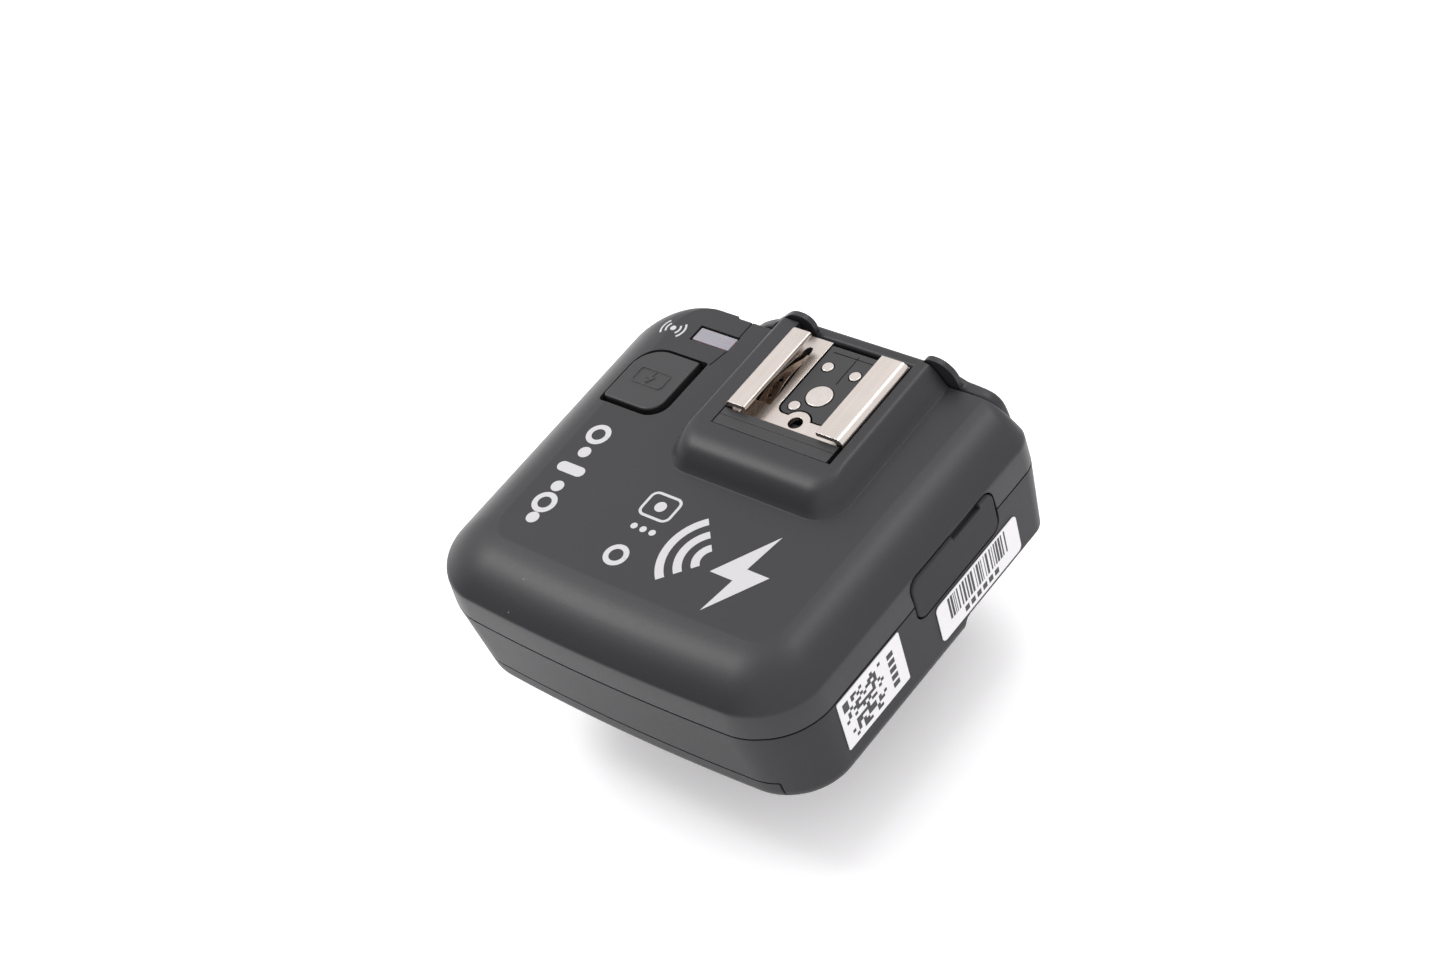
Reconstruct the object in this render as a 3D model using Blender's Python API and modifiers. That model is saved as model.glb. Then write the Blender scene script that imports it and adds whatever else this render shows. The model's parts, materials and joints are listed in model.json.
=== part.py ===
"""Wireless flash trigger: a small hand-sized receiver with a flash shoe on top, a display
at the back, two cells in a compartment underneath and a locking foot below the shoe.

Frame: +Z up, -Y is the front (the rounded end over the cells), +Y is the back (display and
shoe entrance), +X is the side with the port cover.  The origin is under the middle of the
object, on the underside of the foot.  Lengths below are millimetres; MM turns them to metres.
"""

import math

import bmesh
import bpy
from mathutils import Matrix, Vector

MM = 0.001
NAME = "wireless_flash_trigger"

# ---------------------------------------------------------------- driving dimensions
GAP = 0.3                    # clearance left between neighbouring pieces
HALF_X = 35.1                # the body is 70 wide over its rounded corners
FRONT_Y = -31.4              # front face at the corners, before the bulge
BULGE = 1.1                  # how far the front face bows out in the middle
LEFT_FRONT_X = -34.1         # both sides run in slightly towards the front
RIGHT_FRONT_X = 33.6
RIGHT_REAR_X = 35.1
REAR_Y = 29.5                # end of the two shells behind the rear panel
REAR_LEFT_Y = 30.4           # the shells reach further back at the lamp corner
BACK_Y = 32.0                # face of the rear panel
PROUD_Y = 32.5               # face of the two rear buttons
R_FRONT = 10.3
R_REAR_RIGHT = 4.5
R_REAR_LEFT = 8.0

PARTING_Z = 33.1
CREASE_Z = 38.0
DECK_Z = 41.8
PEDESTAL_Z = 45.5
BASE_Z = 17.3                # underside over the cells
REAR_BASE_Z = 20.7           # underside behind the cells
STEP_Y = 7.0
WALL = 1.8
DRAFT = 1.2                  # how far the lower walls draw in towards the base
DRAFT_RIGHT = 0.4
BASE_R = 3.0

SHOE_X = 5.7                 # centre line of the shoe and the foot
SHOE_Y = 19.0
RAIL_TOP_Z = 46.6
RAIL_HALF = 10.65            # 21.3 over the outside of the rails
SLOT_HALF = 9.4              # 18.8 between the rails
LIP_T = 0.75
PLATE_Z = 43.8
PLATE_T = 0.9
RAIL_Y0, RAIL_Y1 = 10.6, 27.45
LIP_L, LIP_R = -1.2, 11.7    # inner edges of the two lips

CELL_D = 14.5
CELL_L = 50.5
CELL_Z = 26.45
CELL_Y = (-20.3, -5.3)

FOOT_W, FOOT_L, FOOT_T = 18.5, 18.0, 2.0
NECK_R = 6.2
RING_R = 12.5
CLAMP_TRAVEL = 2.1
BUTTON_TRAVEL = 0.5
DOOR_TRAVEL = 6.0
SWITCH_TRAVEL = 4.0

# ---------------------------------------------------------------- scene set-up
for item in list(bpy.data.objects):
    bpy.data.objects.remove(item, do_unlink=True)

parts = bpy.data.collections.new(NAME)
cutters = bpy.data.collections.new("cutters")
bpy.context.scene.collection.children.link(parts)
bpy.context.scene.collection.children.link(cutters)

DARK = (0.052, 0.052, 0.055)


def material(name, rgb, rough, metal=0.0):
    mat = bpy.data.materials.new(name + "_material")
    mat.use_nodes = True
    bsdf = mat.node_tree.nodes["Principled BSDF"]
    bsdf.inputs["Base Color"].default_value = (*rgb, 1.0)
    bsdf.inputs["Roughness"].default_value = rough
    bsdf.inputs["Metallic"].default_value = metal
    mat.diffuse_color = (*rgb, 1.0)
    return mat


def finish_mesh(bm, name):
    for v in bm.verts:
        v.co *= MM
    bmesh.ops.recalc_face_normals(bm, faces=bm.faces)
    mesh = bpy.data.meshes.new(name)
    bm.to_mesh(mesh)
    bm.free()
    return mesh


def add(mesh, name, look=None, smooth=False):
    """Link a mesh as a part (look given) or as a cutter."""
    obj = bpy.data.objects.new(name, mesh)
    if look:
        parts.objects.link(obj)
        mesh.materials.append(material(name, *look))
    else:
        cutters.objects.link(obj)
        obj.hide_render = True
        obj.display_type = 'WIRE'
    if smooth:
        mesh.shade_smooth()
        mesh.set_sharp_from_angle(angle=math.radians(35))
    return obj


# ---------------------------------------------------------------- shape helpers
def box_mesh(name, x, y, z):
    bm = bmesh.new()
    bmesh.ops.create_cube(bm, size=1.0)
    bmesh.ops.scale(bm, vec=(x[1] - x[0], y[1] - y[0], z[1] - z[0]), verts=bm.verts)
    bmesh.ops.translate(bm, vec=((x[0] + x[1]) / 2, (y[0] + y[1]) / 2, (z[0] + z[1]) / 2),
                        verts=bm.verts)
    return finish_mesh(bm, name)


def box(name, x, y, z, look=None, bevel=0.0):
    obj = add(box_mesh(name, x, y, z), name, look)
    if bevel:
        soften(obj, bevel)
    return obj


def soften(obj, width, segments=1, angle=40):
    mod = obj.modifiers.new("soften", 'BEVEL')
    mod.width = width * MM
    mod.segments = segments
    mod.limit_method = 'ANGLE'
    mod.angle_limit = math.radians(angle)
    mod.use_clamp_overlap = True


TURN = {'X': Matrix.Rotation(math.pi / 2, 4, 'Y'), 'Y': Matrix.Rotation(-math.pi / 2, 4, 'X'),
        'Z': Matrix.Identity(4)}


def cyl(name, centre, axis, length, r1, look=None, r2=None, seg=24):
    """Cylinder or cone of this length about centre, its axis along X, Y or Z."""
    bm = bmesh.new()
    bmesh.ops.create_cone(bm, cap_ends=True, cap_tris=False, segments=seg, radius1=r1,
                          radius2=r1 if r2 is None else r2, depth=length)
    bmesh.ops.transform(bm, matrix=TURN[axis], verts=bm.verts)
    bmesh.ops.translate(bm, vec=centre, verts=bm.verts)
    return add(finish_mesh(bm, name), name, look, smooth=bool(look))


def rounded(x, y, radii, seg=5):
    """Corner-rounded rectangle, counter-clockwise from the low corner."""
    corners = ((x[0], y[0], 180), (x[1], y[0], 270), (x[1], y[1], 0), (x[0], y[1], 90))
    pts = []
    for (cx, cy, start), r in zip(corners, radii):
        sx = 1 if cx == x[0] else -1
        sy = 1 if cy == y[0] else -1
        if r < 0.05:
            pts.append((cx, cy))
            continue
        for k in range(seg + 1):
            a = math.radians(start + 90.0 * k / seg)
            pts.append((cx + sx * r + r * math.cos(a), cy + sy * r + r * math.sin(a)))
    return pts


def prism(name, pts, axis, span, look=None, smooth=False):
    """A flat outline pushed along one axis.  pts are (x, y), (x, z) or (y, z)."""
    bm = bmesh.new()
    put = {'Z': lambda p, h: (p[0], p[1], h), 'Y': lambda p, h: (p[0], h, p[1]),
           'X': lambda p, h: (h, p[0], p[1])}[axis]
    face = bm.faces.new([bm.verts.new(put(p, span[0])) for p in pts])
    grown = bmesh.ops.extrude_face_region(bm, geom=[face])
    top = [v for v in grown["geom"] if isinstance(v, bmesh.types.BMVert)]
    d = span[1] - span[0]
    bmesh.ops.translate(bm, vec=put((0, 0), d) if axis != 'Z' else (0, 0, d), verts=top)
    return add(finish_mesh(bm, name), name, look, smooth)


def loft(name, rings, look=None, smooth=False):
    """Skin between stacked outlines with the same number of points: [(points, z), ...]."""
    bm = bmesh.new()
    loops = [[bm.verts.new((p[0], p[1], z)) for p in pts] for pts, z in rings]
    for a, b in zip(loops, loops[1:]):
        for i in range(len(a)):
            j = (i + 1) % len(a)
            bm.faces.new((a[i], a[j], b[j], b[i]))
    bm.faces.new(list(reversed(loops[0])))
    bm.faces.new(loops[-1])
    return add(finish_mesh(bm, name), name, look, smooth)


def boolean(obj, tool, kind):
    mod = obj.modifiers.new(tool.name[:50], 'BOOLEAN')
    mod.operation = kind
    mod.object = tool
    mod.solver = 'EXACT'


def cut(obj, *tools):
    for tool in tools:
        boolean(obj, tool, 'DIFFERENCE')


def join(obj, *tools):
    for tool in tools:
        boolean(obj, tool, 'UNION')


def keep(obj, tool):
    boolean(obj, tool, 'INTERSECT')


def screw_mesh(name, length, head_r, head_t, shank_r, seg=12):
    """Pan-head screw turned about Z: head from 0 to -head_t, shank up to +length."""
    profile = [(0, length), (shank_r * 0.6, length), (shank_r, length - shank_r * 0.5),
               (shank_r, 0), (head_r, 0), (head_r, -head_t * 0.6),
               (head_r * 0.8, -head_t), (head_r * 0.35, -head_t), (head_r * 0.3, -head_t * 0.45),
               (0, -head_t * 0.45)]
    bm = bmesh.new()
    verts = [bm.verts.new((r, 0, z)) for r, z in profile]
    for a, b in zip(verts, verts[1:]):
        bm.edges.new((a, b))
    bmesh.ops.spin(bm, geom=bm.verts[:] + bm.edges[:], cent=(0, 0, 0), axis=(0, 0, 1),
                   angle=2 * math.pi, steps=seg, use_merge=True)
    bmesh.ops.remove_doubles(bm, verts=bm.verts, dist=0.002)
    return finish_mesh(bm, name)


# ---------------------------------------------------------------- body outline
def fillet(points, radii, segs):
    """Round the corners of a convex polygon."""
    out = []
    n = len(points)
    for i in range(n):
        p, a, b = Vector(points[i]), Vector(points[i - 1]), Vector(points[(i + 1) % n])
        r = radii[i]
        u, w = (a - p).normalized(), (b - p).normalized()
        half = u.angle(w) / 2
        centre = p + (u + w).normalized() * (r / math.sin(half))
        s, e = p + u * (r / math.tan(half)) - centre, p + w * (r / math.tan(half)) - centre
        a0 = math.atan2(s.y, s.x)
        sweep = (math.atan2(e.y, e.x) - a0) % (2 * math.pi)
        for k in range(segs + 1):
            t = a0 + sweep * k / segs
            out.append((centre.x + r * math.cos(t), centre.y + r * math.sin(t)))
    return out


def outline(front=0.0, side=0.0, rear=0.0, segs=7, spans=8, right=None):
    """The body's plan outline, moved in by the given amounts on each side."""
    right = side if right is None else right
    pts = [(LEFT_FRONT_X + side, FRONT_Y + front), (RIGHT_FRONT_X - right, FRONT_Y + front),
           (RIGHT_REAR_X - right, REAR_LEFT_Y - rear), (-HALF_X + side, REAR_LEFT_Y - rear)]
    inset = (front + side) / 2
    radii = [max(R_FRONT - 0.75 * inset, 0.8), max(R_FRONT - 0.75 * inset, 0.8),
             max(R_REAR_RIGHT - 0.75 * (side + rear) / 2, 0.8),
             max(R_REAR_LEFT - 0.75 * (side + rear) / 2, 0.8)]
    ring = fillet(pts, radii, segs)
    a, b = ring[segs], ring[segs + 1]
    middle = [(a[0] + (b[0] - a[0]) * k / spans, a[1] + (b[1] - a[1]) * k / spans)
              for k in range(1, spans)]
    ring = ring[:segs + 1] + middle + ring[segs + 1:]
    reach = 30.0

    def bow(p):
        if p[1] > -18.0:
            return p
        fade = min(1.0, (-18.0 - p[1]) / 8.0)
        return (p[0], p[1] - BULGE * fade * max(0.0, 1.0 - ((p[0] + 1.5) / reach) ** 2))
    return [bow(p) for p in ring]


def side_inset(z):
    """How far the wall has drawn in at height z below the parting line."""
    return DRAFT_RIGHT * max(0.0, (PARTING_Z - z)) / (PARTING_Z - BASE_Z)


def right_x(y, z):
    """The +X wall at this place."""
    t = (y - FRONT_Y) / (REAR_LEFT_Y - FRONT_Y)
    return RIGHT_FRONT_X + (RIGHT_REAR_X - RIGHT_FRONT_X) * t - side_inset(z)


# ---------------------------------------------------------------- top shell
TOP_PROFILE = (  # (front inset, side inset, z) from the parting line to the deck
    (0.0, 0.0, PARTING_Z + 0.15), (0.15, 0.15, 36.0), (0.3, 0.3, CREASE_Z - 0.4),
    (0.75, 0.65, CREASE_Z + 0.1), (2.6, 2.2, 39.45), (4.8, 4.0, 40.6), (7.2, 6.0, 41.4),
    (9.8, 8.2, DECK_Z))
top_look = (DARK, 0.55)
top_shell = loft("top_shell", [(outline(f, s, 0.0 if i < 3 else 0.1 * (i - 2)), z)
                               for i, (f, s, z) in enumerate(TOP_PROFILE)], top_look, True)

PED_X = (-10.7, 21.2)        # foot of the pedestal
PED_Y0 = -0.6
pedestal_rings = []
for f, s, z, r in ((0.0, 0.0, 41.2, 5.0), (0.0, 0.0, 41.7, 5.0), (0.7, 0.55, 42.4, 4.6),
                   (1.6, 1.2, 43.6, 4.2), (3.0, 1.9, 44.7, 3.6), (4.8, 2.4, 45.3, 3.0),
                   (6.7, 2.9, PEDESTAL_Z, 2.4)):
    pedestal_rings.append((rounded((PED_X[0] + s, PED_X[1] - s - 0.3 * f / 6.7),
                                   (PED_Y0 + f, REAR_Y + 3.0), (r, r, 0.0, 0.0), 6), z))
pedestal = loft("pedestal_form", pedestal_rings)
join(top_shell, pedestal)

top_cavity = loft("top_cavity", [
    (outline(2.0, 2.0, 2.6), 30.0), (outline(2.3, 2.3, 2.7), 37.4),
    (outline(4.4, 4.0, 3.0), 38.6), (outline(7.4, 6.4, 3.4), 39.4),
    (outline(9.6, 8.4, 3.8), 39.8)])
cut(top_shell, top_cavity)
PANEL_LEFT_X = -17.9
rear_trim = box("rear_trim", (PANEL_LEFT_X - GAP, 60), (REAR_Y, 60), (10, 60))
cut(top_shell, rear_trim)

# the display looks out through the back wall of both shells
rear_opening = box("rear_opening", (-15.4, 27.0), (25.2, 60), (REAR_BASE_Z + WALL + 0.3, 39.5))
cut(top_shell, rear_opening)

# pocket for the metal shoe, open to the back
cut(top_shell, box("shoe_pocket", (SHOE_X - RAIL_HALF - GAP, SHOE_X + RAIL_HALF + GAP),
                   (6.8, 60), (PLATE_Z - PLATE_T - GAP, 60)))
cut(top_shell, box("contact_well", (0.8, 10.9), (13.6, 28.9), (30, 44)))

# openings in the deck for the test button and the lamp
TEST_X, TEST_Y = (-28.3, -16.2), (6.5, 19.5)
cut(top_shell, prism("test_opening", rounded(TEST_X, TEST_Y, (0.6, 3.2, 0.6, 4.8), 5), 'Z', (38, 45)))
LAMP_X, LAMP_Y = (-22.6, -14.9), (22.7, 26.0)
cut(top_shell, box("lamp_opening", LAMP_X, LAMP_Y, (38, 45)))

# the port cover's opening, through the +X wall of both shells
PORT_Y, PORT_Z = (-1.8, 18.0), (29.6, 37.3)
port_opening = prism("port_opening", rounded((PORT_Y[0] - GAP, PORT_Y[1] + GAP),
                     (PORT_Z[0] - GAP, PORT_Z[1] + GAP), (2.1,) * 4, 4), 'X', (31.0, 40.0))
cut(top_shell, port_opening)

# four screw bosses under the deck
CASE_SCREWS = {"case_screw_rear_left": (-28.0, 23.2), "case_screw_rear_right": (28.2, 23.6),
               "case_screw_front_left": (-18.0, -12.8), "case_screw_front_right": (18.0, -12.8)}
for name, (x, y) in CASE_SCREWS.items():
    low = 33.5 if y > 0 else 35.5
    join(top_shell, cyl(name + "_boss", (x, y, (low + 40.3) / 2), 'Z', 40.3 - low, 2.4, seg=16))
for name, (x, y) in CASE_SCREWS.items():
    cut(top_shell, cyl(name + "_pilot", (x, y, 35.6), 'Z', 7.6, 1.35, seg=12))

# ---------------------------------------------------------------- bottom shell
def lower_rings(z_top, extra=0.0):
    rings = []
    for k in range(5):
        a = math.radians(90.0 * k / 4)
        inset = DRAFT + BASE_R * (1 - math.sin(a)) + extra
        rings.append((outline(inset, inset, min(inset, 2.0), right=inset - DRAFT + DRAFT_RIGHT),
                      BASE_Z + BASE_R * (1 - math.cos(a))))
    rings.append((outline(extra, extra, extra), z_top))
    return rings


bottom_look = ((0.048, 0.048, 0.051), 0.58)
bottom_shell = loft("bottom_shell", lower_rings(PARTING_Z - 0.15), bottom_look, True)
cut(bottom_shell, box("rear_underside", (-60, 60), (STEP_Y, 60), (0, REAR_BASE_Z)))
bottom_cavity = loft("bottom_cavity", [
    (outline(3.1, 3.1, 3.2, right=2.9), REAR_BASE_Z + WALL),
    (outline(WALL, WALL, 2.6), PARTING_Z + 1.0)])
cut(bottom_shell, bottom_cavity)
cut(bottom_shell, rear_trim)
cut(bottom_shell, rear_opening)

# battery compartment: a box with a roof, open underneath
BAY_X, BAY_Y, BAY_ROOF = (-27.1, 27.1), (-27.9, 2.3), 34.0
join(bottom_shell, prism("bay_walls", rounded((BAY_X[0] - 1.1, BAY_X[1] + 1.1), (BAY_Y[0] - 1.0, BAY_Y[1] + 1.1),
                         (3.2, 3.2, 0.0, 0.0), 3), 'Z', (21.0, BAY_ROOF + 1.1)))
cut(bottom_shell, prism("bay_inside", rounded(BAY_X, BAY_Y, (2.0, 2.0, 0.5, 0.5), 3), 'Z',
                        (10, BAY_ROOF)))
# seat of the battery door: its plate underneath, its lip up the front face
DOOR_X, DOOR_REAR, DOOR_TOP, LIP_X, LIP_TOP = 29.0, 4.4, 18.9, 27.6, 22.0
cut(bottom_shell, box("door_seat", (-DOOR_X - GAP, DOOR_X + GAP), (-60, DOOR_REAR + GAP),
                      (10, DOOR_TOP + GAP)))
lip_seat = box("lip_seat", (-LIP_X - GAP, LIP_X + GAP), (-60, -20), (10, LIP_TOP + GAP))
cut(lip_seat, loft("lip_seat_core", [(outline(2.35, 2.35, 2.35), 9.0),
                                     (outline(2.35, 2.35, 2.35), 30.0)]))
cut(bottom_shell, lip_seat)
cut(bottom_shell, port_opening)

for name, (x, y) in CASE_SCREWS.items():
    if y > 0:
        join(bottom_shell, cyl(name + "_post", (x, y, 27.1), 'Z', 12.2, 2.6, seg=16))
        cut(bottom_shell, cyl(name + "_seat", (x, y, 20.6), 'Z', 4.2, 2.5, seg=16))
        cut(bottom_shell, cyl(name + "_way", (x, y, 28.0), 'Z', 16, 1.35, seg=12))
    else:
        cut(bottom_shell, cyl(name + "_roof_hole", (x, y, 34.5), 'Z', 3.0, 1.35, seg=12))

# neck hole and its four screw holes
cut(bottom_shell, cyl("neck_hole", (SHOE_X, SHOE_Y, 21), 'Z', 6, NECK_R + GAP, seg=32))
NECK_SCREWS = {"neck_screw_1": (SHOE_X - 10.2, SHOE_Y - 3.6), "neck_screw_2": (SHOE_X + 10.2, SHOE_Y - 3.6),
               "neck_screw_3": (SHOE_X - 10.2, SHOE_Y + 3.6), "neck_screw_4": (SHOE_X + 10.2, SHOE_Y + 3.6)}
for name, (x, y) in NECK_SCREWS.items():
    cut(bottom_shell, cyl(name + "_hole", (x, y, 21), 'Z', 6, 1.15, seg=12))

# recess and slot of the power switch in the -X wall
SW_Y, SW_Z = 12.0, 27.6
cut(bottom_shell, prism("switch_recess", rounded((SW_Y - 6.0, SW_Y + 6.0), (SW_Z - 2.6, SW_Z + 2.6),
                        (1.2,) * 4, 3), 'X', (-40.0, -33.9)))
cut(bottom_shell, box("switch_slot", (-36, -31), (SW_Y - 1.2 - SWITCH_TRAVEL / 2 - GAP,
                      SW_Y + 1.2 + SWITCH_TRAVEL / 2 + GAP), (SW_Z - 1.0, SW_Z + 1.0)))

# ---------------------------------------------------------------- battery door
battery_door = box("battery_door", (-DOOR_X, DOOR_X), (-60, DOOR_REAR), (10, DOOR_TOP), bottom_look)
lip_block = box("lip_block", (-LIP_X, LIP_X), (-60, -20), (DOOR_TOP - 1.0, LIP_TOP))
cut(lip_block, loft("lip_core", [(outline(2.05, 2.05, 2.05), 12.0), (outline(2.05, 2.05, 2.05), 30.0)]))
join(battery_door, lip_block)
keep(battery_door, loft("door_form", lower_rings(PARTING_Z)))
for k in range(4):
    y = -1.0 + 1.4 * k
    cut(battery_door, box("door_grip_%d" % (k + 1), (-7, 7), (y, y + 0.6), (10, BASE_Z + 0.45)))

# ---------------------------------------------------------------- rear panel
PANEL = [(PANEL_LEFT_X, REAR_BASE_Z + 1.2), (-16.7, REAR_BASE_Z), (28.6, REAR_BASE_Z), (29.8, REAR_BASE_Z + 1.2),
         (29.8, 33.0), (29.4, 36.5), (28.9, 39.4), (28.0, 40.7), (26.4, 41.4), (22.8, 41.7),
         (20.6, 42.7), (17.5, 43.3), (-6.2, 43.3), (-9.8, 42.9), (-11.6, 42.2), (-13.9, 40.9),
         (-15.2, 40.0), (-16.6, 38.8), (-17.6, 36.6), (PANEL_LEFT_X, 33.0)]
rear_panel = prism("rear_panel", PANEL, 'Y', (REAR_Y + GAP, BACK_Y), ((0.045, 0.045, 0.048), 0.5))
soften(rear_panel, 0.6, 2, 50)
# two guide lugs stand up at the ends of the shoe entrance
for name, pts in (("lug_left", [(-11.4, 42.0), (-2.7, 42.0), (-3.0, 45.0), (-3.9, 46.1), (-6.2, 46.4),
                                (-7.4, 45.9), (-9.2, 44.3), (-10.8, 42.9)]),
                  ("lug_right", [(16.6, 42.0), (23.0, 41.6), (22.3, 44.2), (20.8, 45.6), (19.6, 46.0),
                                 (18.0, 46.0), (17.2, 45.2)])):
    join(rear_panel, prism(name, pts, 'Y', (REAR_Y + GAP, REAR_Y + GAP + 0.95)))
LCD_X, LCD_Z = (-14.6, 13.6), (24.6, 39.4)
cut(rear_panel, box("lcd_recess", LCD_X, (31.0, 40), LCD_Z))
cut(rear_panel, box("lcd_opening", (LCD_X[0] + 2, LCD_X[1] - 2), (20, 40), (LCD_Z[0] + 2, LCD_Z[1] - 2)))
REAR_BUTTONS = {"channel_button": 36.2, "group_button": 28.4}
BTN_X, BTN_W, BTN_H = 21.0, 9.0, 5.0
for name, z in REAR_BUTTONS.items():
    cut(rear_panel, prism(name + "_opening", rounded((BTN_X - BTN_W / 2 - GAP, BTN_X + BTN_W / 2 + GAP),
        (z - BTN_H / 2 - GAP, z + BTN_H / 2 + GAP), (2.3,) * 4, 4), 'Y', (20, 40)))

lcd_window = box("lcd_window", (LCD_X[0] + GAP, LCD_X[1] - GAP), (31.0 + GAP, BACK_Y),
                 (LCD_Z[0] + GAP, LCD_Z[1] - GAP), ((0.02, 0.022, 0.024), 0.08))
lcd_module = box("lcd_module", (-14.4, 13.4), (27.3, 29.3), (24.4, 39.0), ((0.35, 0.42, 0.36), 0.3), 0.2)
display_board = box("display_board", (-16.5, 25.3), (25.7, 26.9), (25.0, 38.6), ((0.02, 0.12, 0.06), 0.5))
for name, z in REAR_BUTTONS.items():
    button = prism(name, rounded((BTN_X - BTN_W / 2, BTN_X + BTN_W / 2), (z - BTN_H / 2, z + BTN_H / 2),
                   (2.0,) * 4, 4), 'Y', (29.3, PROUD_Y), ((0.06, 0.06, 0.064), 0.5), True)
    join(button, prism(name + "_flange", rounded((BTN_X - BTN_W / 2 - 0.9, BTN_X + BTN_W / 2 + 0.9),
         (z - BTN_H / 2 - 0.8, z + BTN_H / 2 + 0.8), (2.0,) * 4, 3), 'Y', (28.8, 29.5)))
    switch = box(name.replace("button", "switch"), (BTN_X - 2.2, BTN_X + 2.2), (27.2, 27.9),
                 (z - 2.2, z + 2.2), ((0.5, 0.5, 0.5), 0.35, 0.8), 0.15)
    join(switch, cyl(name + "_plunger", (BTN_X, 27.9, z), 'Y', 0.6, 1.2, seg=12))

# ---------------------------------------------------------------- shoe
def shoe_profile():
    x0, x1 = SHOE_X - RAIL_HALF, SHOE_X + RAIL_HALF
    i0, i1 = SHOE_X - SLOT_HALF, SHOE_X + SLOT_HALF
    b, p, u, t = PLATE_Z - PLATE_T, PLATE_Z, RAIL_TOP_Z - LIP_T, RAIL_TOP_Z
    r = 1.1
    pts = [(x0, b), (x1, b)]
    pts += [(x1 - r + r * math.cos(math.radians(a)), t - r + r * math.sin(math.radians(a)))
            for a in (0, 22.5, 45, 67.5, 90)]
    pts += [(LIP_R, t), (LIP_R, u), (i1, u), (i1, p), (i0, p), (i0, u), (LIP_L, u), (LIP_L, t)]
    pts += [(x0 + r + r * math.cos(math.radians(a)), t - r + r * math.sin(math.radians(a)))
            for a in (90, 112.5, 135, 157.5, 180)]
    return pts


metal = (0.78, 0.72, 0.68)
shoe_rails = prism("shoe_rails", shoe_profile(), 'Y', (RAIL_Y0, RAIL_Y1), (metal, 0.28, 1.0))
join(shoe_rails, box("shoe_plate_ends", (SHOE_X - SLOT_HALF + 0.2, SHOE_X + SLOT_HALF - 0.2),
                     (10.75, 29.1), (PLATE_Z - PLATE_T + 0.001, PLATE_Z - 0.001)))
cut(shoe_rails, prism("block_window", rounded((1.1, 10.6), (13.9, 40), (1.6, 1.6, 0, 0), 4), 'Z', (40, 44.5)))
join(shoe_rails, cyl("lock_tab", (5.6, 13.2, PLATE_Z - PLATE_T / 2), 'Z', PLATE_T, 2.1, seg=20))
cut(shoe_rails, cyl("lock_hole", (5.6, 13.0, 43), 'Z', 4, 1.15, seg=16))
cut(shoe_rails, prism("spring_window", [(-3.3, 14.6), (-0.2, 14.6), (-0.2, 17.0), (-0.9, 26.4),
                      (-1.5, 26.9), (-2.1, 26.4), (-3.3, 17.0)], 'Z', (40, 44.5)))

spring_pts = []
for k in range(9):
    t = k / 8
    spring_pts.append((14.9 + 11.2 * t, 43.05 + 0.95 * math.sin(math.pi * min(1.0, t * 1.1))))
shoe_spring = prism("shoe_spring", [(y, z) for y, z in spring_pts] + [(y, z - 0.3) for y, z in reversed(spring_pts)],
                    'X', (-2.9, -0.6), (metal, 0.3, 1.0))
keep(shoe_spring, prism("spring_plan", [(-2.95, 14.0), (-0.5, 14.0), (-0.55, 17.0), (-1.2, 26.0), (-1.8, 26.0),
                                        (-2.9, 17.0)], 'Z', (40, 46)))

shoe_contact_block = prism("shoe_contact_block", rounded((1.4, 10.3), (14.2, 28.6), (1.3, 1.3, 0.4, 0.4), 4),
                           'Z', (40.1, PLATE_Z - 0.05), ((0.02, 0.02, 0.022), 0.45))
cut(shoe_contact_block, cyl("lock_tab_room", (5.6, 13.2, 43), 'Z', 8, 2.4, seg=20))
CONTACTS = {"shoe_centre_contact": (5.75, 18.9, 2.1), "shoe_contact_1": (3.3, 24.5, 0.95),
            "shoe_contact_2": (8.35, 24.4, 0.95), "shoe_contact_3": (3.3, 15.9, 0.95)}
for name, (x, y, r) in CONTACTS.items():
    cut(shoe_contact_block, cyl(name + "_bore", (x, y, 42), 'Z', 8, r + 0.15, seg=20))
    pin = cyl(name, (x, y, 41.85), 'Z', 4.1, r, (metal, 0.25, 1.0), seg=20)
    soften(pin, 0.15, 1)

shoe_front_stop = box("shoe_front_stop", (-4.7, 15.0), (7.15, 10.3), (42.9, 45.3),
                      ((0.035, 0.035, 0.038), 0.5), 0.25)

# ---------------------------------------------------------------- test button and lamp
test_button = prism("test_button", rounded((TEST_X[0] + GAP, TEST_X[1] - 1.5), (TEST_Y[0] + 1.0, TEST_Y[1] - GAP),
                    (0.5, 2.6, 0.5, 4.5), 5), 'Z', (38.8, DECK_Z), ((0.05, 0.05, 0.053), 0.5), True)
join(test_button, box("test_flange", (TEST_X[0] - 0.5, TEST_X[1] + 0.4), (TEST_Y[0] - 0.6, TEST_Y[1] + 0.5),
                      (38.5, 39.0)))
test_switch = box("test_switch", (-24.4, -20.0), (11.2, 15.6), (36.9, 37.4), ((0.5, 0.5, 0.5), 0.35, 0.8), 0.15)
join(test_switch, cyl("test_plunger", (-22.2, 13.4, 37.4), 'Z', 0.6, 1.2, seg=12))

status_window = box("status_window", (LAMP_X[0] + GAP, LAMP_X[1] - GAP), (LAMP_Y[0] + GAP, LAMP_Y[1] - GAP),
                    (38.9, DECK_Z), ((0.55, 0.54, 0.6), 0.35), 0.12)
status_led = box("status_led", (-20.4, -17.1), (23.6, 25.2), (36.9, 38.2), ((0.7, 0.7, 0.65), 0.3), 0.15)

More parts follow.
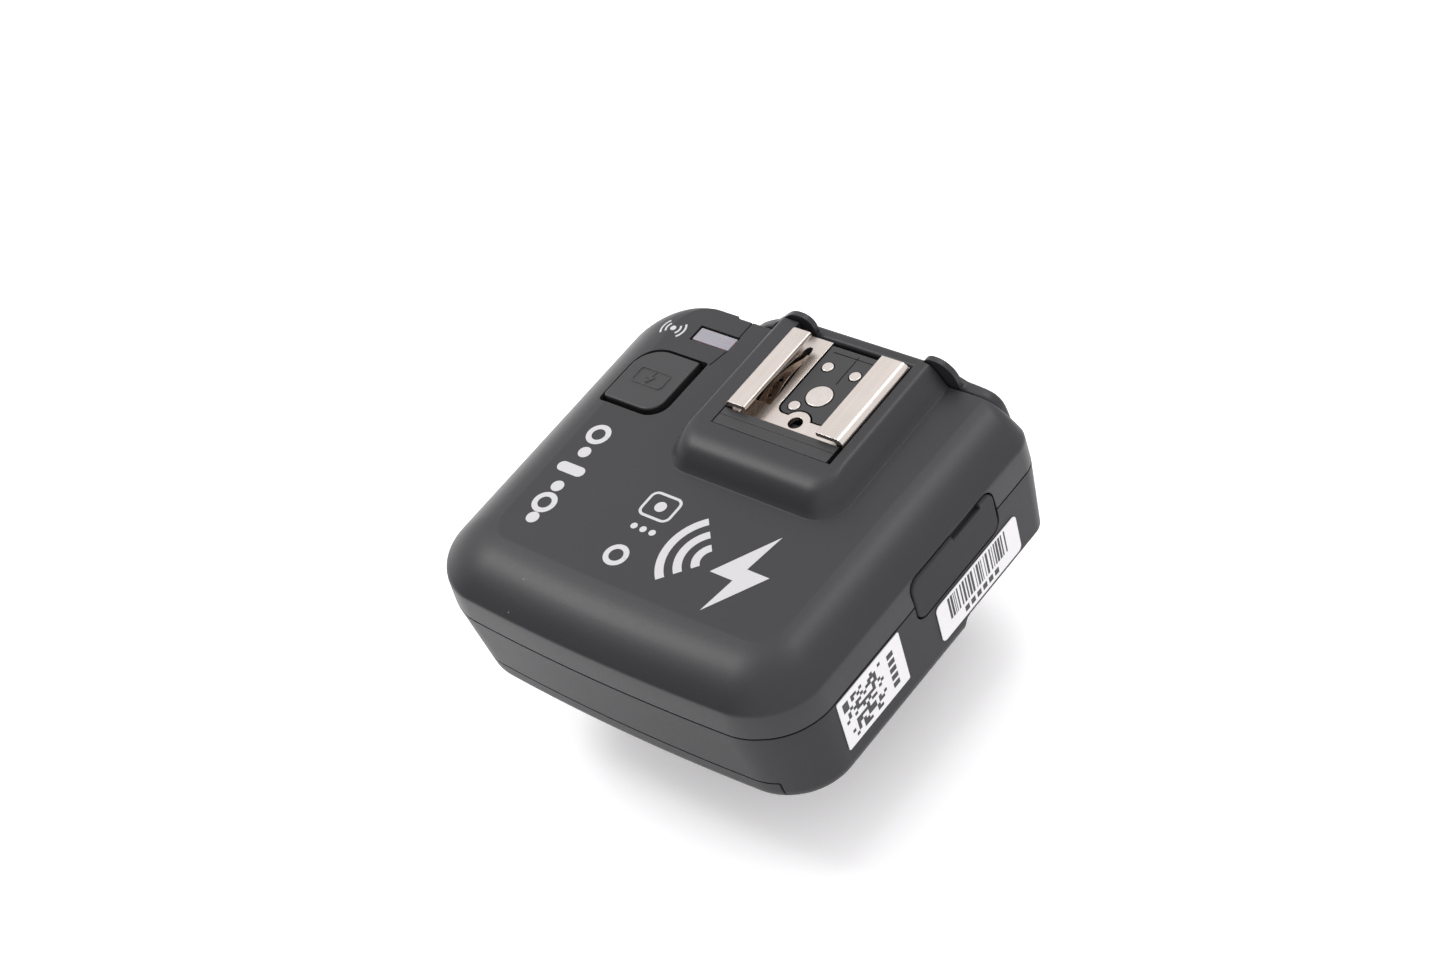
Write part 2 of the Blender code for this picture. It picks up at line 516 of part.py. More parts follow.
# ---------------------------------------------------------------- port cover and sockets
HINGE_X = right_x(PORT_Y[0], PARTING_Z) + 0.12
port_cover = prism("port_cover", rounded(PORT_Y, PORT_Z, (1.8,) * 4, 4), 'X', (33.1, HINGE_X),
                   ((0.03, 0.03, 0.032), 0.75))
for v in port_cover.data.vertices:       # its face lies along the wall
    if v.co.x > 34.0 * MM:
        v.co.x = (right_x(v.co.y / MM, v.co.z / MM) + 0.12) * MM
cut(port_cover, box("nail_slot", (33.9, 36), (8.2, 14.9), (36.6, 38)))
cut(port_cover, prism("plug_hollow", rounded((0.6, 16.2), (31.2, 35.8), (1.0,) * 4, 3), 'X', (33.0, 34.0)))
usb_socket = box("usb_socket", (25.5, 32.6), (9.0, 16.7), (31.4, 35.1), ((0.6, 0.6, 0.62), 0.3, 1.0), 0.4)
cut(usb_socket, box("usb_mouth", (27.5, 40), (9.6, 16.1), (32.0, 34.5)))
join(usb_socket, box("usb_tongue", (27.0, 31.8), (10.6, 15.1), (33.0, 33.6)))
sync_socket = box("sync_socket", (25.0, 32.6), (3.8, 8.6), (30.2, 35.1), ((0.03, 0.03, 0.03), 0.4), 0.3)
cut(sync_socket, cyl("sync_bore", (30, 6.2, 32.6), 'X', 9, 1.3, seg=16))

# ---------------------------------------------------------------- power switch
power_knob = box("power_switch_knob", (-34.75, -34.2), (SW_Y - 4.5, SW_Y + 0.5), (SW_Z - 1.9, SW_Z + 1.9),
                 ((0.03, 0.03, 0.032), 0.5), 0.12)
join(power_knob, box("power_stem", (-34.3, -31.1), (SW_Y - 3.2, SW_Y - 0.8), (SW_Z - 0.65, SW_Z + 0.65)))
for k in range(3):
    y = SW_Y - 3.3 + 1.1 * k
    cut(power_knob, box("power_rib_%d" % k, (-36, -34.55), (y, y + 0.4), (SW_Z - 3, SW_Z + 3)))
power_switch = box("power_switch_body", (-31.5, -28.2), (SW_Y - 6.2, SW_Y + 6.2), (SW_Z - 2.4, SW_Z + 2.4),
                   ((0.55, 0.55, 0.56), 0.35, 0.8), 0.2)
cut(power_switch, box("power_switch_mouth", (-33, -30.1), (SW_Y - 1.2 - 2.0 - GAP, SW_Y + 1.2 + 2.0 + GAP),
                      (SW_Z - 1.0, SW_Z + 1.0)))

# ---------------------------------------------------------------- boards
main_board = box("main_board", (-25.6, 25.0), (-27.5, 24.6), (35.4, 36.6), ((0.02, 0.12, 0.06), 0.5))
join(main_board, box("board_ear", (20.0, 31.0), (0.5, 18.0), (35.401, 36.599)))
for name, (x, y) in CASE_SCREWS.items():
    cut(main_board, cyl(name + "_clear", (x, y, 36), 'Z', 5, 2.75, seg=16))
radio_module = box("radio_module", (-14.0, 4.0), (-24.0, -8.0), (36.9, 38.6), ((0.62, 0.62, 0.64), 0.3, 1.0), 0.25)
buzzer = cyl("status_buzzer", (14.0, -21.0, 37.85), 'Z', 1.9, 4.0, ((0.02, 0.02, 0.02), 0.4), seg=24)
cut(buzzer, cyl("buzzer_port", (14.0, -21.0, 38.8), 'Z', 2.0, 0.9, seg=12))

# ---------------------------------------------------------------- cells and their contacts
def cell(name, y, way, look):
    """A cell lying along X; its positive end points to way."""
    body = cyl(name, (-0.65 * way, y, CELL_Z), 'X', CELL_L - 1.3, CELL_D / 2, look, seg=32)
    soften(body, 0.5, 1, 60)
    join(body, cyl(name + "_nub", (way * (CELL_L / 2 - 0.85), y, CELL_Z), 'X', 1.7, 2.6, seg=16))
    return body


cell("battery_cell_front", CELL_Y[0], 1, ((0.08, 0.1, 0.12), 0.3, 0.4))
cell("battery_cell_rear", CELL_Y[1], -1, ((0.08, 0.1, 0.12), 0.3, 0.4))
nickel = ((0.7, 0.68, 0.64), 0.3, 1.0)
PLATE_IN = 26.5              # faces of the contact plates towards the cells


def contact_plate(name, side, y0, y1):
    return box(name, sorted((side * PLATE_IN, side * (PLATE_IN + 0.3))), (y0, y1), (20.5, 32.5), nickel)


contact_plate("battery_bridge", 1, -26.0, 0.8)
contact_plate("battery_terminal_front", -1, CELL_Y[0] - 5.5, CELL_Y[0] + 5.5)
contact_plate("battery_terminal_rear", -1, CELL_Y[1] - 5.5, CELL_Y[1] + 5.5)


def coil(name, x0, x1, y, r0, r1, turns=2.0, wire=0.22, per=10):
    """Conical contact spring between two end planes, as one wire."""
    curve = bpy.data.curves.new(name + "_path", 'CURVE')
    curve.dimensions = '3D'
    curve.bevel_depth = wire * MM
    curve.bevel_resolution = 1
    curve.use_fill_caps = True
    n = int(turns * per) + 1
    line = curve.splines.new('POLY')
    line.points.add(n - 1)
    for k in range(n):
        t = k / (n - 1)
        a = 2 * math.pi * turns * t
        r = r0 + (r1 - r0) * t
        line.points[k].co = (MM * (x0 + (x1 - x0) * t), MM * (y + r * math.cos(a)),
                             MM * (CELL_Z + r * math.sin(a)), 1)
    temp = bpy.data.objects.new(name + "_path", curve)
    cutters.objects.link(temp)
    deps = bpy.context.evaluated_depsgraph_get()
    mesh = bpy.data.meshes.new_from_object(temp.evaluated_get(deps))
    bpy.data.objects.remove(temp, do_unlink=True)
    bm = bmesh.new()
    bm.from_mesh(mesh)
    bmesh.ops.remove_doubles(bm, verts=bm.verts, dist=1e-6)
    bmesh.ops.recalc_face_normals(bm, faces=bm.faces)
    bm.to_mesh(mesh)
    bm.free()
    mesh.name = name
    mesh.materials.clear()
    return add(mesh, name, nickel, True)


coil("battery_spring_rear", 26.2, 25.55, CELL_Y[1], 4.6, 2.6)
coil("battery_spring_front", -26.2, -25.55, CELL_Y[0], 4.6, 2.6)

# ---------------------------------------------------------------- screws
for name, (x, y) in CASE_SCREWS.items():
    z = 22.3 if y > 0 else 33.7
    length = 15.4 if y > 0 else 5.2
    obj = add(screw_mesh(name, length, 2.1, 1.5, 1.0), name, ((0.3, 0.3, 0.32), 0.3, 1.0), True)
    obj.location = (x * MM, y * MM, z * MM)
for name, (x, y) in NECK_SCREWS.items():
    mesh = screw_mesh(name, 3.4, 1.9, 1.2, 0.85)
    obj = add(mesh, name, ((0.3, 0.3, 0.32), 0.3, 1.0), True)
    obj.rotation_euler = (math.pi, 0, 0)
    obj.location = (x * MM, y * MM, 24.6 * MM)

for name, (x, y) in (("foot_screw_left", (SHOE_X - 5.2, SHOE_Y)), ("foot_screw_right", (SHOE_X + 5.2, SHOE_Y))):
    obj = add(screw_mesh(name, 4.9, 1.2, 0.9, 0.55), name, ((0.3, 0.3, 0.32), 0.3, 1.0), True)
    obj.location = (x * MM, y * MM, 1.25 * MM)

# ---------------------------------------------------------------- locking foot
foot_plate = prism("foot_plate", rounded((SHOE_X - FOOT_W / 2, SHOE_X + FOOT_W / 2),
                   (SHOE_Y - FOOT_L / 2, SHOE_Y + FOOT_L / 2), (2.0, 2.0, 1.0, 1.0), 3), 'Z',
                   (0.0, FOOT_T), (metal, 0.35, 1.0))
cut(foot_plate, cyl("foot_way", (SHOE_X, SHOE_Y, 1), 'Z', 6, 3.4, seg=24))
FOOT_SCREWS = {"foot_screw_left": (SHOE_X - 5.2, SHOE_Y), "foot_screw_right": (SHOE_X + 5.2, SHOE_Y)}
for name, (x, y) in FOOT_SCREWS.items():
    cut(foot_plate, cyl(name + "_head_room", (x, y, 0), 'Z', 2.6, 1.5, seg=16),
        cyl(name + "_hole", (x, y, 1), 'Z', 6, 0.85, seg=12))
foot_neck = cyl("foot_neck", (SHOE_X, SHOE_Y, 13.45), 'Z', 22.3, NECK_R, ((0.05, 0.05, 0.052), 0.5), seg=32)
cut(foot_neck, box("neck_flat_a", (0, 20), (SHOE_Y + 5.2, 40), (0, 12.0)),
    box("neck_flat_b", (0, 20), (0, SHOE_Y - 5.2), (0, 12.0)))
join(foot_neck, prism("neck_flange", rounded((SHOE_X - 13.0, SHOE_X + 13.0), (SHOE_Y - 6.0, SHOE_Y + 6.0),
                      (1.5,) * 4, 3), 'Z', (22.8, 24.3)))
cut(foot_neck, cyl("insert_room", (SHOE_X, SHOE_Y, 5), 'Z', 10.6, 3.9, seg=24))
for name, (x, y) in FOOT_SCREWS.items():
    cut(foot_neck, cyl(name + "_pilot", (x, y, 3.6), 'Z', 6.4, 0.75, seg=12))
for name, (x, y) in NECK_SCREWS.items():
    cut(foot_neck, cyl(name + "_way", (x, y, 23), 'Z', 6, 1.15, seg=12))
foot_insert = cyl("foot_thread_insert", (SHOE_X, SHOE_Y, 6.2), 'Z', 7.4, 3.6, ((0.75, 0.58, 0.28), 0.3, 1.0), seg=24)
cut(foot_insert, cyl("insert_bore", (SHOE_X, SHOE_Y, 4.0), 'Z', 10, 2.75, seg=24))

lock_plate = prism("lock_plate", rounded((SHOE_X - 11.0, SHOE_X + 11.0), (SHOE_Y - 10.5, SHOE_Y + 10.5),
                   (2.5,) * 4, 4), 'Z', (4.7, 6.7), ((0.05, 0.05, 0.052), 0.5))
plate_hole = cyl("plate_hole", (SHOE_X, SHOE_Y, 6), 'Z', 6, NECK_R + GAP, seg=32)
cut(plate_hole, box("plate_flat_a", (0, 20), (SHOE_Y + 5.2 + GAP, 40), (0, 12.0)),
    box("plate_flat_b", (0, 20), (0, SHOE_Y - 5.2 - GAP), (0, 12.0)))
cut(lock_plate, plate_hole)

ring_pts = []
for k in range(60):
    a = 2 * math.pi * k / 60
    r = RING_R if k % 3 else RING_R - 0.8
    ring_pts.append((r * math.cos(a), r * math.sin(a)))
lock_ring = prism("lock_ring", ring_pts, 'Z', (-2.4, 2.4), ((0.05, 0.05, 0.052), 0.5))
ring_bore = cyl("ring_bore", (0, 0, 0), 'Z', 10, NECK_R + GAP, seg=32)
cut(lock_ring, ring_bore)
for item in (lock_ring, ring_bore):
    item.location = (SHOE_X * MM, SHOE_Y * MM, 9.4 * MM)

# ---------------------------------------------------------------- side labels
def label(name, y, z, look):
    """A thin sheet lying along the +X wall."""
    bm = bmesh.new()
    bmesh.ops.create_cube(bm, size=1.0)
    for v in bm.verts:
        py = y[1] if v.co.y > 0 else y[0]
        pz = z[1] if v.co.z > 0 else z[0]
        v.co = Vector((right_x(py, pz) + (0.18 if v.co.x > 0 else 0.06), py, pz))
    return add(finish_mesh(bm, name), name, look)


label("side_label_front", (-20.8, -6.4), (22.6, 32.7), ((0.85, 0.85, 0.85), 0.5))
label("side_label_rear", (1.6, 21.6), (21.4, 28.7), ((0.85, 0.85, 0.85), 0.5))

# ---------------------------------------------------------------- moving pieces turn about their own axes
def set_origin(obj, point):
    """Move an object's origin without moving its shape."""
    shift = Vector(point) * MM - obj.location
    obj.data.transform(Matrix.Translation(-shift))
    obj.location = obj.location + shift


set_origin(port_cover, (HINGE_X, PORT_Y[0], (PORT_Z[0] + PORT_Z[1]) / 2))
set_origin(power_knob, (-34.2, SW_Y - 2.0, SW_Z))
set_origin(test_button, (-22.8, 13.4, 39.2))
set_origin(battery_door, (0, -13, DOOR_TOP))
set_origin(lock_plate, (SHOE_X, SHOE_Y, 5.7))
for name, z in REAR_BUTTONS.items():
    set_origin(bpy.data.objects[name], (BTN_X, 29.3, z))
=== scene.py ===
"""Looks for the wireless flash trigger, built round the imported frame."""
import json
import math
import random

import bmesh
import bpy
from mathutils import Matrix, Vector
from mathutils.bvhtree import BVHTree


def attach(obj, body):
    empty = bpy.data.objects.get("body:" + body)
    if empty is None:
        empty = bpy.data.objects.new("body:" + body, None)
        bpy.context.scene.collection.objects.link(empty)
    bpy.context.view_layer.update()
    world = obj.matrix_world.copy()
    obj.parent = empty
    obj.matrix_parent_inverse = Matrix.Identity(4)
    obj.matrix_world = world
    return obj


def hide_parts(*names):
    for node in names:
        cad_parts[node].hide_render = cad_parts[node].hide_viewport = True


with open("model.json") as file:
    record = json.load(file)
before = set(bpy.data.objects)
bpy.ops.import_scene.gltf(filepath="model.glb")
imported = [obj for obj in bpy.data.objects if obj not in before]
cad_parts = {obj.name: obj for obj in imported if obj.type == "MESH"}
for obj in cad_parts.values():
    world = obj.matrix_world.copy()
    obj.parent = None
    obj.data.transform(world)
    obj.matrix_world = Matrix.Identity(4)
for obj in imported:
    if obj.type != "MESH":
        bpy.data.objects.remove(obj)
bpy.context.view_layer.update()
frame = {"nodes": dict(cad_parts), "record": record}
NODES = frame["nodes"]
MM = 0.001

# ---------------------------------------------------------------- sizes repeated from the frame, mm
GAP = 0.3
HALF_X, LEFT_FRONT_X, RIGHT_FRONT_X, RIGHT_REAR_X = 35.1, -34.1, 33.6, 35.1
FRONT_Y, BULGE, REAR_Y, REAR_LEFT_Y, BACK_Y = -31.4, 1.1, 29.5, 30.4, 32.0
R_FRONT, R_REAR_RIGHT, R_REAR_LEFT = 10.3, 4.5, 8.0
PARTING_Z, CREASE_Z, DECK_Z, PEDESTAL_Z = 33.1, 38.0, 41.8, 45.5
BASE_Z, REAR_BASE_Z, STEP_Y, WALL = 17.3, 20.7, 7.0, 1.8
DRAFT, DRAFT_RIGHT, BASE_R = 1.2, 0.4, 3.0
SHOE_X, SHOE_Y = 5.7, 19.0
RAIL_TOP_Z, RAIL_HALF, SLOT_HALF, LIP_T = 46.6, 10.65, 9.4, 0.75
PLATE_Z, PLATE_T, RAIL_Y0, RAIL_Y1, LIP_L, LIP_R = 43.8, 0.9, 10.6, 27.45, -1.2, 11.7
PANEL_LEFT_X = -17.9


# ---------------------------------------------------------------- mesh helpers
def to_mesh(bm, name):
    for v in bm.verts:
        v.co *= MM
    bmesh.ops.recalc_face_normals(bm, faces=bm.faces)
    mesh = bpy.data.meshes.new(name)
    bm.to_mesh(mesh)
    bm.free()
    return mesh


def link(mesh, name):
    obj = bpy.data.objects.new(name, mesh)
    bpy.context.scene.collection.objects.link(obj)
    return obj


def box(x, y, z, name="tool"):
    bm = bmesh.new()
    bmesh.ops.create_cube(bm, size=1.0)
    for v in bm.verts:
        v.co = Vector(((x[0], x[1])[v.co.x > 0], (y[0], y[1])[v.co.y > 0], (z[0], z[1])[v.co.z > 0]))
    return link(to_mesh(bm, name), name)


TURN = {'X': Matrix.Rotation(math.pi / 2, 4, 'Y'), 'Y': Matrix.Rotation(-math.pi / 2, 4, 'X'),
        'Z': Matrix.Identity(4)}


def cyl(centre, axis, length, r1, r2=None, seg=48, name="tool"):
    bm = bmesh.new()
    bmesh.ops.create_cone(bm, cap_ends=True, cap_tris=False, segments=seg, radius1=r1,
                          radius2=r1 if r2 is None else r2, depth=length)
    bmesh.ops.transform(bm, matrix=TURN[axis], verts=bm.verts)
    bmesh.ops.translate(bm, vec=centre, verts=bm.verts)
    return link(to_mesh(bm, name), name)


def rounded(x, y, radii, seg=10):
    corners = ((x[0], y[0], 180), (x[1], y[0], 270), (x[1], y[1], 0), (x[0], y[1], 90))
    pts = []
    for (cx, cy, start), r in zip(corners, radii):
        sx = 1 if cx == x[0] else -1
        sy = 1 if cy == y[0] else -1
        if r < 0.05:
            pts.append((cx, cy))
            continue
        for k in range(seg + 1):
            a = math.radians(start + 90.0 * k / seg)
            pts.append((cx + sx * r + r * math.cos(a), cy + sy * r + r * math.sin(a)))
    return pts


PUT = {'Z': lambda p, h: (p[0], p[1], h), 'Y': lambda p, h: (p[0], h, p[1]), 'X': lambda p, h: (h, p[0], p[1])}


def prism(pts, axis, span, name="tool"):
    bm = bmesh.new()
    lo = [bm.verts.new(PUT[axis](p, span[0])) for p in pts]
    hi = [bm.verts.new(PUT[axis](p, span[1])) for p in pts]
    bm.faces.new(lo)
    bm.faces.new(hi)
    n = len(pts)
    for i in range(n):
        bm.faces.new((lo[i], lo[(i + 1) % n], hi[(i + 1) % n], hi[i]))
    return link(to_mesh(bm, name), name)


def loft(rings, name="tool"):
    bm = bmesh.new()
    loops = [[bm.verts.new((p[0], p[1], z)) for p in pts] for pts, z in rings]
    for a, b in zip(loops, loops[1:]):
        n = len(a)
        for i in range(n):
            j = (i + 1) % n
            bm.faces.new((a[i], a[j], b[j], b[i]))
    bm.faces.new(list(reversed(loops[0])))
    bm.faces.new(loops[-1])
    return link(to_mesh(bm, name), name)


def bake(obj):
    """Put the modifiers' result into the mesh."""
    deps = bpy.context.evaluated_depsgraph_get()
    deps.update()
    mesh = bpy.data.meshes.new_from_object(obj.evaluated_get(deps))
    old = obj.data
    obj.modifiers.clear()
    obj.data = mesh
    bpy.data.meshes.remove(old)
    return obj


def boolean(obj, kind, *tools):
    for tool in tools:
        mod = obj.modifiers.new("bool", 'BOOLEAN')
        mod.operation = kind
        mod.object = tool
        mod.solver = 'EXACT'
    bake(obj)
    for tool in tools:
        mesh = tool.data
        bpy.data.objects.remove(tool, do_unlink=True)
        bpy.data.meshes.remove(mesh)
    return obj


def cut(obj, *tools):
    return boolean(obj, 'DIFFERENCE', *tools)


def join(obj, *tools):
    return boolean(obj, 'UNION', *tools)


def keep(obj, tool):
    return boolean(obj, 'INTERSECT', tool)


def soften(obj, width, segments=3, angle=35):
    mod = obj.modifiers.new("soften", 'BEVEL')
    mod.width = width * MM
    mod.segments = segments
    mod.limit_method = 'ANGLE'
    mod.angle_limit = math.radians(angle)
    mod.use_clamp_overlap = True
    return bake(obj)


def smooth(obj, angle=32):
    obj.data.shade_smooth()
    obj.data.set_sharp_from_angle(angle=math.radians(angle))
    mod = obj.modifiers.new("weights", 'WEIGHTED_NORMAL')
    mod.mode = 'FACE_AREA'
    mod.weight = 80
    mod.keep_sharp = True
    return bake(obj)


def curve_through(points, per):
    """Catmull-Rom through tuples, the ends kept."""
    out = []
    pts = [points[0]] + list(points) + [points[-1]]
    for i in range(1, len(pts) - 2):
        a, b, c, d = pts[i - 1], pts[i], pts[i + 1], pts[i + 2]
        for k in range(per):
            t = k / per
            out.append(tuple(0.5 * (2 * q + (r - p) * t + (2 * p - 5 * q + 4 * r - s) * t * t
                                    + (3 * q - p - 3 * r + s) * t ** 3)
                             for p, q, r, s in zip(a, b, c, d)))
    out.append(tuple(points[-1]))
    return out


def fillet(points, radii, segs):
    out = []
    n = len(points)
    for i in range(n):
        p, a, b = Vector(points[i]), Vector(points[i - 1]), Vector(points[(i + 1) % n])
        r = radii[i]
        u, w = (a - p).normalized(), (b - p).normalized()
        half = u.angle(w) / 2
        centre = p + (u + w).normalized() * (r / math.sin(half))
        s, e = p + u * (r / math.tan(half)) - centre, p + w * (r / math.tan(half)) - centre
        a0 = math.atan2(s.y, s.x)
        sweep = (math.atan2(e.y, e.x) - a0) % (2 * math.pi)
        for k in range(segs + 1):
            t = a0 + sweep * k / segs
            out.append((centre.x + r * math.cos(t), centre.y + r * math.sin(t)))
    return out


def outline(front=0.0, side=0.0, rear=0.0, right=None, segs=16, spans=18):
    right = side if right is None else right
    pts = [(LEFT_FRONT_X + side, FRONT_Y + front), (RIGHT_FRONT_X - right, FRONT_Y + front),
           (RIGHT_REAR_X - right, REAR_LEFT_Y - rear), (-HALF_X + side, REAR_LEFT_Y - rear)]
    inset = (front + side) / 2
    radii = [max(R_FRONT - 0.75 * inset, 0.8), max(R_FRONT - 0.75 * inset, 0.8),
             max(R_REAR_RIGHT - 0.75 * (side + rear) / 2, 0.8),
             max(R_REAR_LEFT - 0.75 * (side + rear) / 2, 0.8)]
    ring = fillet(pts, radii, segs)
    a, b = ring[segs], ring[segs + 1]
    middle = [(a[0] + (b[0] - a[0]) * k / spans, a[1] + (b[1] - a[1]) * k / spans)
              for k in range(1, spans)]
    ring = ring[:segs + 1] + middle + ring[segs + 1:]

    def bow(p):
        if p[1] > -18.0:
            return p
        fade = min(1.0, (-18.0 - p[1]) / 8.0)
        return (p[0], p[1] - BULGE * fade * max(0.0, 1.0 - ((p[0] + 1.5) / 30.0) ** 2))
    return [bow(p) for p in ring]


def right_x(y, z):
    t = (y - FRONT_Y) / (REAR_LEFT_Y - FRONT_Y)
    draw = DRAFT_RIGHT * max(0.0, (PARTING_Z - z)) / (PARTING_Z - BASE_Z)
    return RIGHT_FRONT_X + (RIGHT_REAR_X - RIGHT_FRONT_X) * t - draw


# ---------------------------------------------------------------- materials
class Tree:
    """Small helper to wire a material's nodes."""

    def __init__(self, name):
        self.mat = bpy.data.materials.new(name)
        self.mat.use_nodes = True
        self.t = self.mat.node_tree
        self.bsdf = self.t.nodes["Principled BSDF"]
        self.coord = self.t.nodes.new("ShaderNodeTexCoord")

    def node(self, kind, **values):
        n = self.t.nodes.new(kind)
        for k, v in values.items():
            if hasattr(n, k) and k not in n.inputs:
                setattr(n, k, v)
            else:
                n.inputs[k].default_value = v
        return n

    def wire(self, a, out, b, into):
        self.t.links.new(a.outputs[out], b.inputs[into])

    def noise(self, scale, detail=2.0, rough=0.5, stretch=None):
        n = self.node("ShaderNodeTexNoise")
        n.inputs["Scale"].default_value = scale
        n.inputs["Detail"].default_value = detail
        n.inputs["Roughness"].default_value = rough
        if stretch:
            m = self.node("ShaderNodeMapping")
            m.inputs["Scale"].default_value = stretch
            self.wire(self.coord, "Object", m, "Vector")
            self.wire(m, "Vector", n, "Vector")
        else:
            self.wire(self.coord, "Object", n, "Vector")
        return n

    def remap(self, src, out, lo, hi, a, b):
        m = self.node("ShaderNodeMapRange")
        m.inputs["From Min"].default_value = lo
        m.inputs["From Max"].default_value = hi
        m.inputs["To Min"].default_value = a
        m.inputs["To Max"].default_value = b
        self.wire(src, out, m, "Value")
        return m

    def mix(self, fac, out, a, b):
        m = self.t.nodes.new("ShaderNodeMix")
        m.data_type = 'RGBA'
        for key, value in ((6, a), (7, b)):
            if isinstance(value, tuple):
                m.inputs[key].default_value = (*value, 1.0)
            else:
                self.t.links.new(value, m.inputs[key])
        self.t.links.new(fac.outputs[out], m.inputs[0])
        return m.outputs[2]

    def colour(self, socket):
        self.t.links.new(socket, self.bsdf.inputs["Base Color"])

    def relief(self, heights, edge=0.0):
        """Stack bumps, each (node, output, strength, distance), over rounded edges."""
        last = None
        if edge:
            bev = self.t.nodes.new("ShaderNodeBevel")
            bev.samples = 6
            bev.inputs["Radius"].default_value = edge * MM
            last = bev.outputs["Normal"]
        for src, out, strength, distance in heights:
            bump = self.t.nodes.new("ShaderNodeBump")
            bump.inputs["Strength"].default_value = strength
            bump.inputs["Distance"].default_value = distance * MM
            self.t.links.new(src.outputs[out], bump.inputs["Height"])
            if last:
                self.t.links.new(last, bump.inputs["Normal"])
            last = bump.outputs["Normal"]
        if last:
            self.t.links.new(last, self.bsdf.inputs["Normal"])


def set_bsdf(bsdf, **values):
    for k, v in values.items():
        bsdf.inputs[k.replace("_", " ")].default_value = v


def plastic(name, rgb, rough=0.5, grain=0.35, edge=0.18, specks=0.0, spec=0.5):
    m = Tree(name)
    fine = m.noise(7500, 3.0, 0.6)
    cloud = m.noise(90, 3.0, 0.5)
    tone = m.mix(cloud, "Fac", tuple(c * 0.9 for c in rgb), tuple(c * 1.1 for c in rgb))
    if specks:
        vor = m.node("ShaderNodeTexVoronoi")
        vor.inputs["Scale"].default_value = 260
        m.wire(m.coord, "Object", vor, "Vector")
        dot = m.remap(vor, "Distance", 0.028, 0.045, 1.0, 0.0)
        pick = m.node("ShaderNodeSeparateColor")
        m.wire(vor, "Color", pick, "Color")
        some = m.remap(pick, "Red", 1.0 - specks, 1.0 - specks + 0.004, 0.0, 1.0)
        both = m.node("ShaderNodeMath", operation='MULTIPLY')
        m.wire(dot, "Result", both, 0)
        m.wire(some, "Result", both, 1)
        tone = m.mix(both, "Value", tone, (0.5, 0.5, 0.52))
    m.colour(tone)
    r = m.remap(fine, "Fac", 0.25, 0.75, rough - 0.05, rough + 0.07)
    m.wire(r, "Result", m.bsdf, "Roughness")
    m.relief([(fine, "Fac", grain, 0.03)], edge)
    set_bsdf(m.bsdf, Specular_IOR_Level=spec)
    return m.mat


def metal(name, rgb, rough=0.3, stretch=(1, 1, 1), brush=0.12, edge=0.1):
    m = Tree(name)
    lines = m.noise(900, 3.0, 0.6, stretch)
    cloud = m.noise(160, 2.0, 0.5)
    m.colour(m.mix(cloud, "Fac", tuple(c * 0.93 for c in rgb), tuple(min(1.0, c * 1.05) for c in rgb)))
    r = m.remap(lines, "Fac", 0.3, 0.7, rough - 0.06, rough + 0.08)
    m.wire(r, "Result", m.bsdf, "Roughness")
    m.relief([(lines, "Fac", brush, 0.01)], edge)
    set_bsdf(m.bsdf, Metallic=1.0)
    return m.mat


def printed(name, rgb, rough=0.45):
    m = Tree(name)
    fine = m.noise(5200, 2.0, 0.5)
    m.colour(m.mix(fine, "Fac", tuple(c * 0.94 for c in rgb), rgb))
    r = m.remap(fine, "Fac", 0.3, 0.7, rough - 0.05, rough + 0.08)
    m.wire(r, "Result", m.bsdf, "Roughness")
    m.relief([(fine, "Fac", 0.15, 0.01)])
    return m.mat


def board(name):
    m = Tree(name)
    grid = m.node("ShaderNodeTexBrick")
    grid.inputs["Scale"].default_value = 420
    grid.inputs["Mortar Size"].default_value = 0.03
    grid.inputs["Color1"].default_value = (0.012, 0.085, 0.04, 1)
    grid.inputs["Color2"].default_value = (0.014, 0.1, 0.048, 1)
    grid.inputs["Mortar"].default_value = (0.03, 0.16, 0.08, 1)
    m.wire(m.coord, "Object", grid, "Vector")
    m.colour(grid.outputs["Color"])
    m.relief([(grid, "Fac", 0.3, 0.02)])
    set_bsdf(m.bsdf, Roughness=0.32)
    return m.mat


def glossy(name, rgb, rough=0.08, coat=0.6):
    m = Tree(name)
    smear = m.noise(240, 4.0, 0.55)
    m.colour(m.mix(smear, "Fac", tuple(c * 0.9 for c in rgb), tuple(c * 1.1 for c in rgb)))
    r = m.remap(smear, "Fac", 0.35, 0.7, rough, rough + 0.08)
    m.wire(r, "Result", m.bsdf, "Roughness")
    m.relief([(smear, "Fac", 0.03, 0.01)], 0.1)
    set_bsdf(m.bsdf, Coat_Weight=coat, Coat_Roughness=0.05)
    return m.mat


def frosted(name, rgb):
    m = Tree(name)
    fine = m.noise(2600, 3.0, 0.5)
    cloud = m.noise(420, 2.0, 0.5)
    m.colour(m.mix(cloud, "Fac", tuple(c * 0.92 for c in rgb), tuple(c * 1.06 for c in rgb)))
    r = m.remap(fine, "Fac", 0.3, 0.7, 0.3, 0.42)
    m.wire(r, "Result", m.bsdf, "Roughness")
    m.relief([(fine, "Fac", 0.12, 0.02)], 0.15)
    set_bsdf(m.bsdf, Subsurface_Weight=0.35, Subsurface_Scale=0.002)
    return m.mat


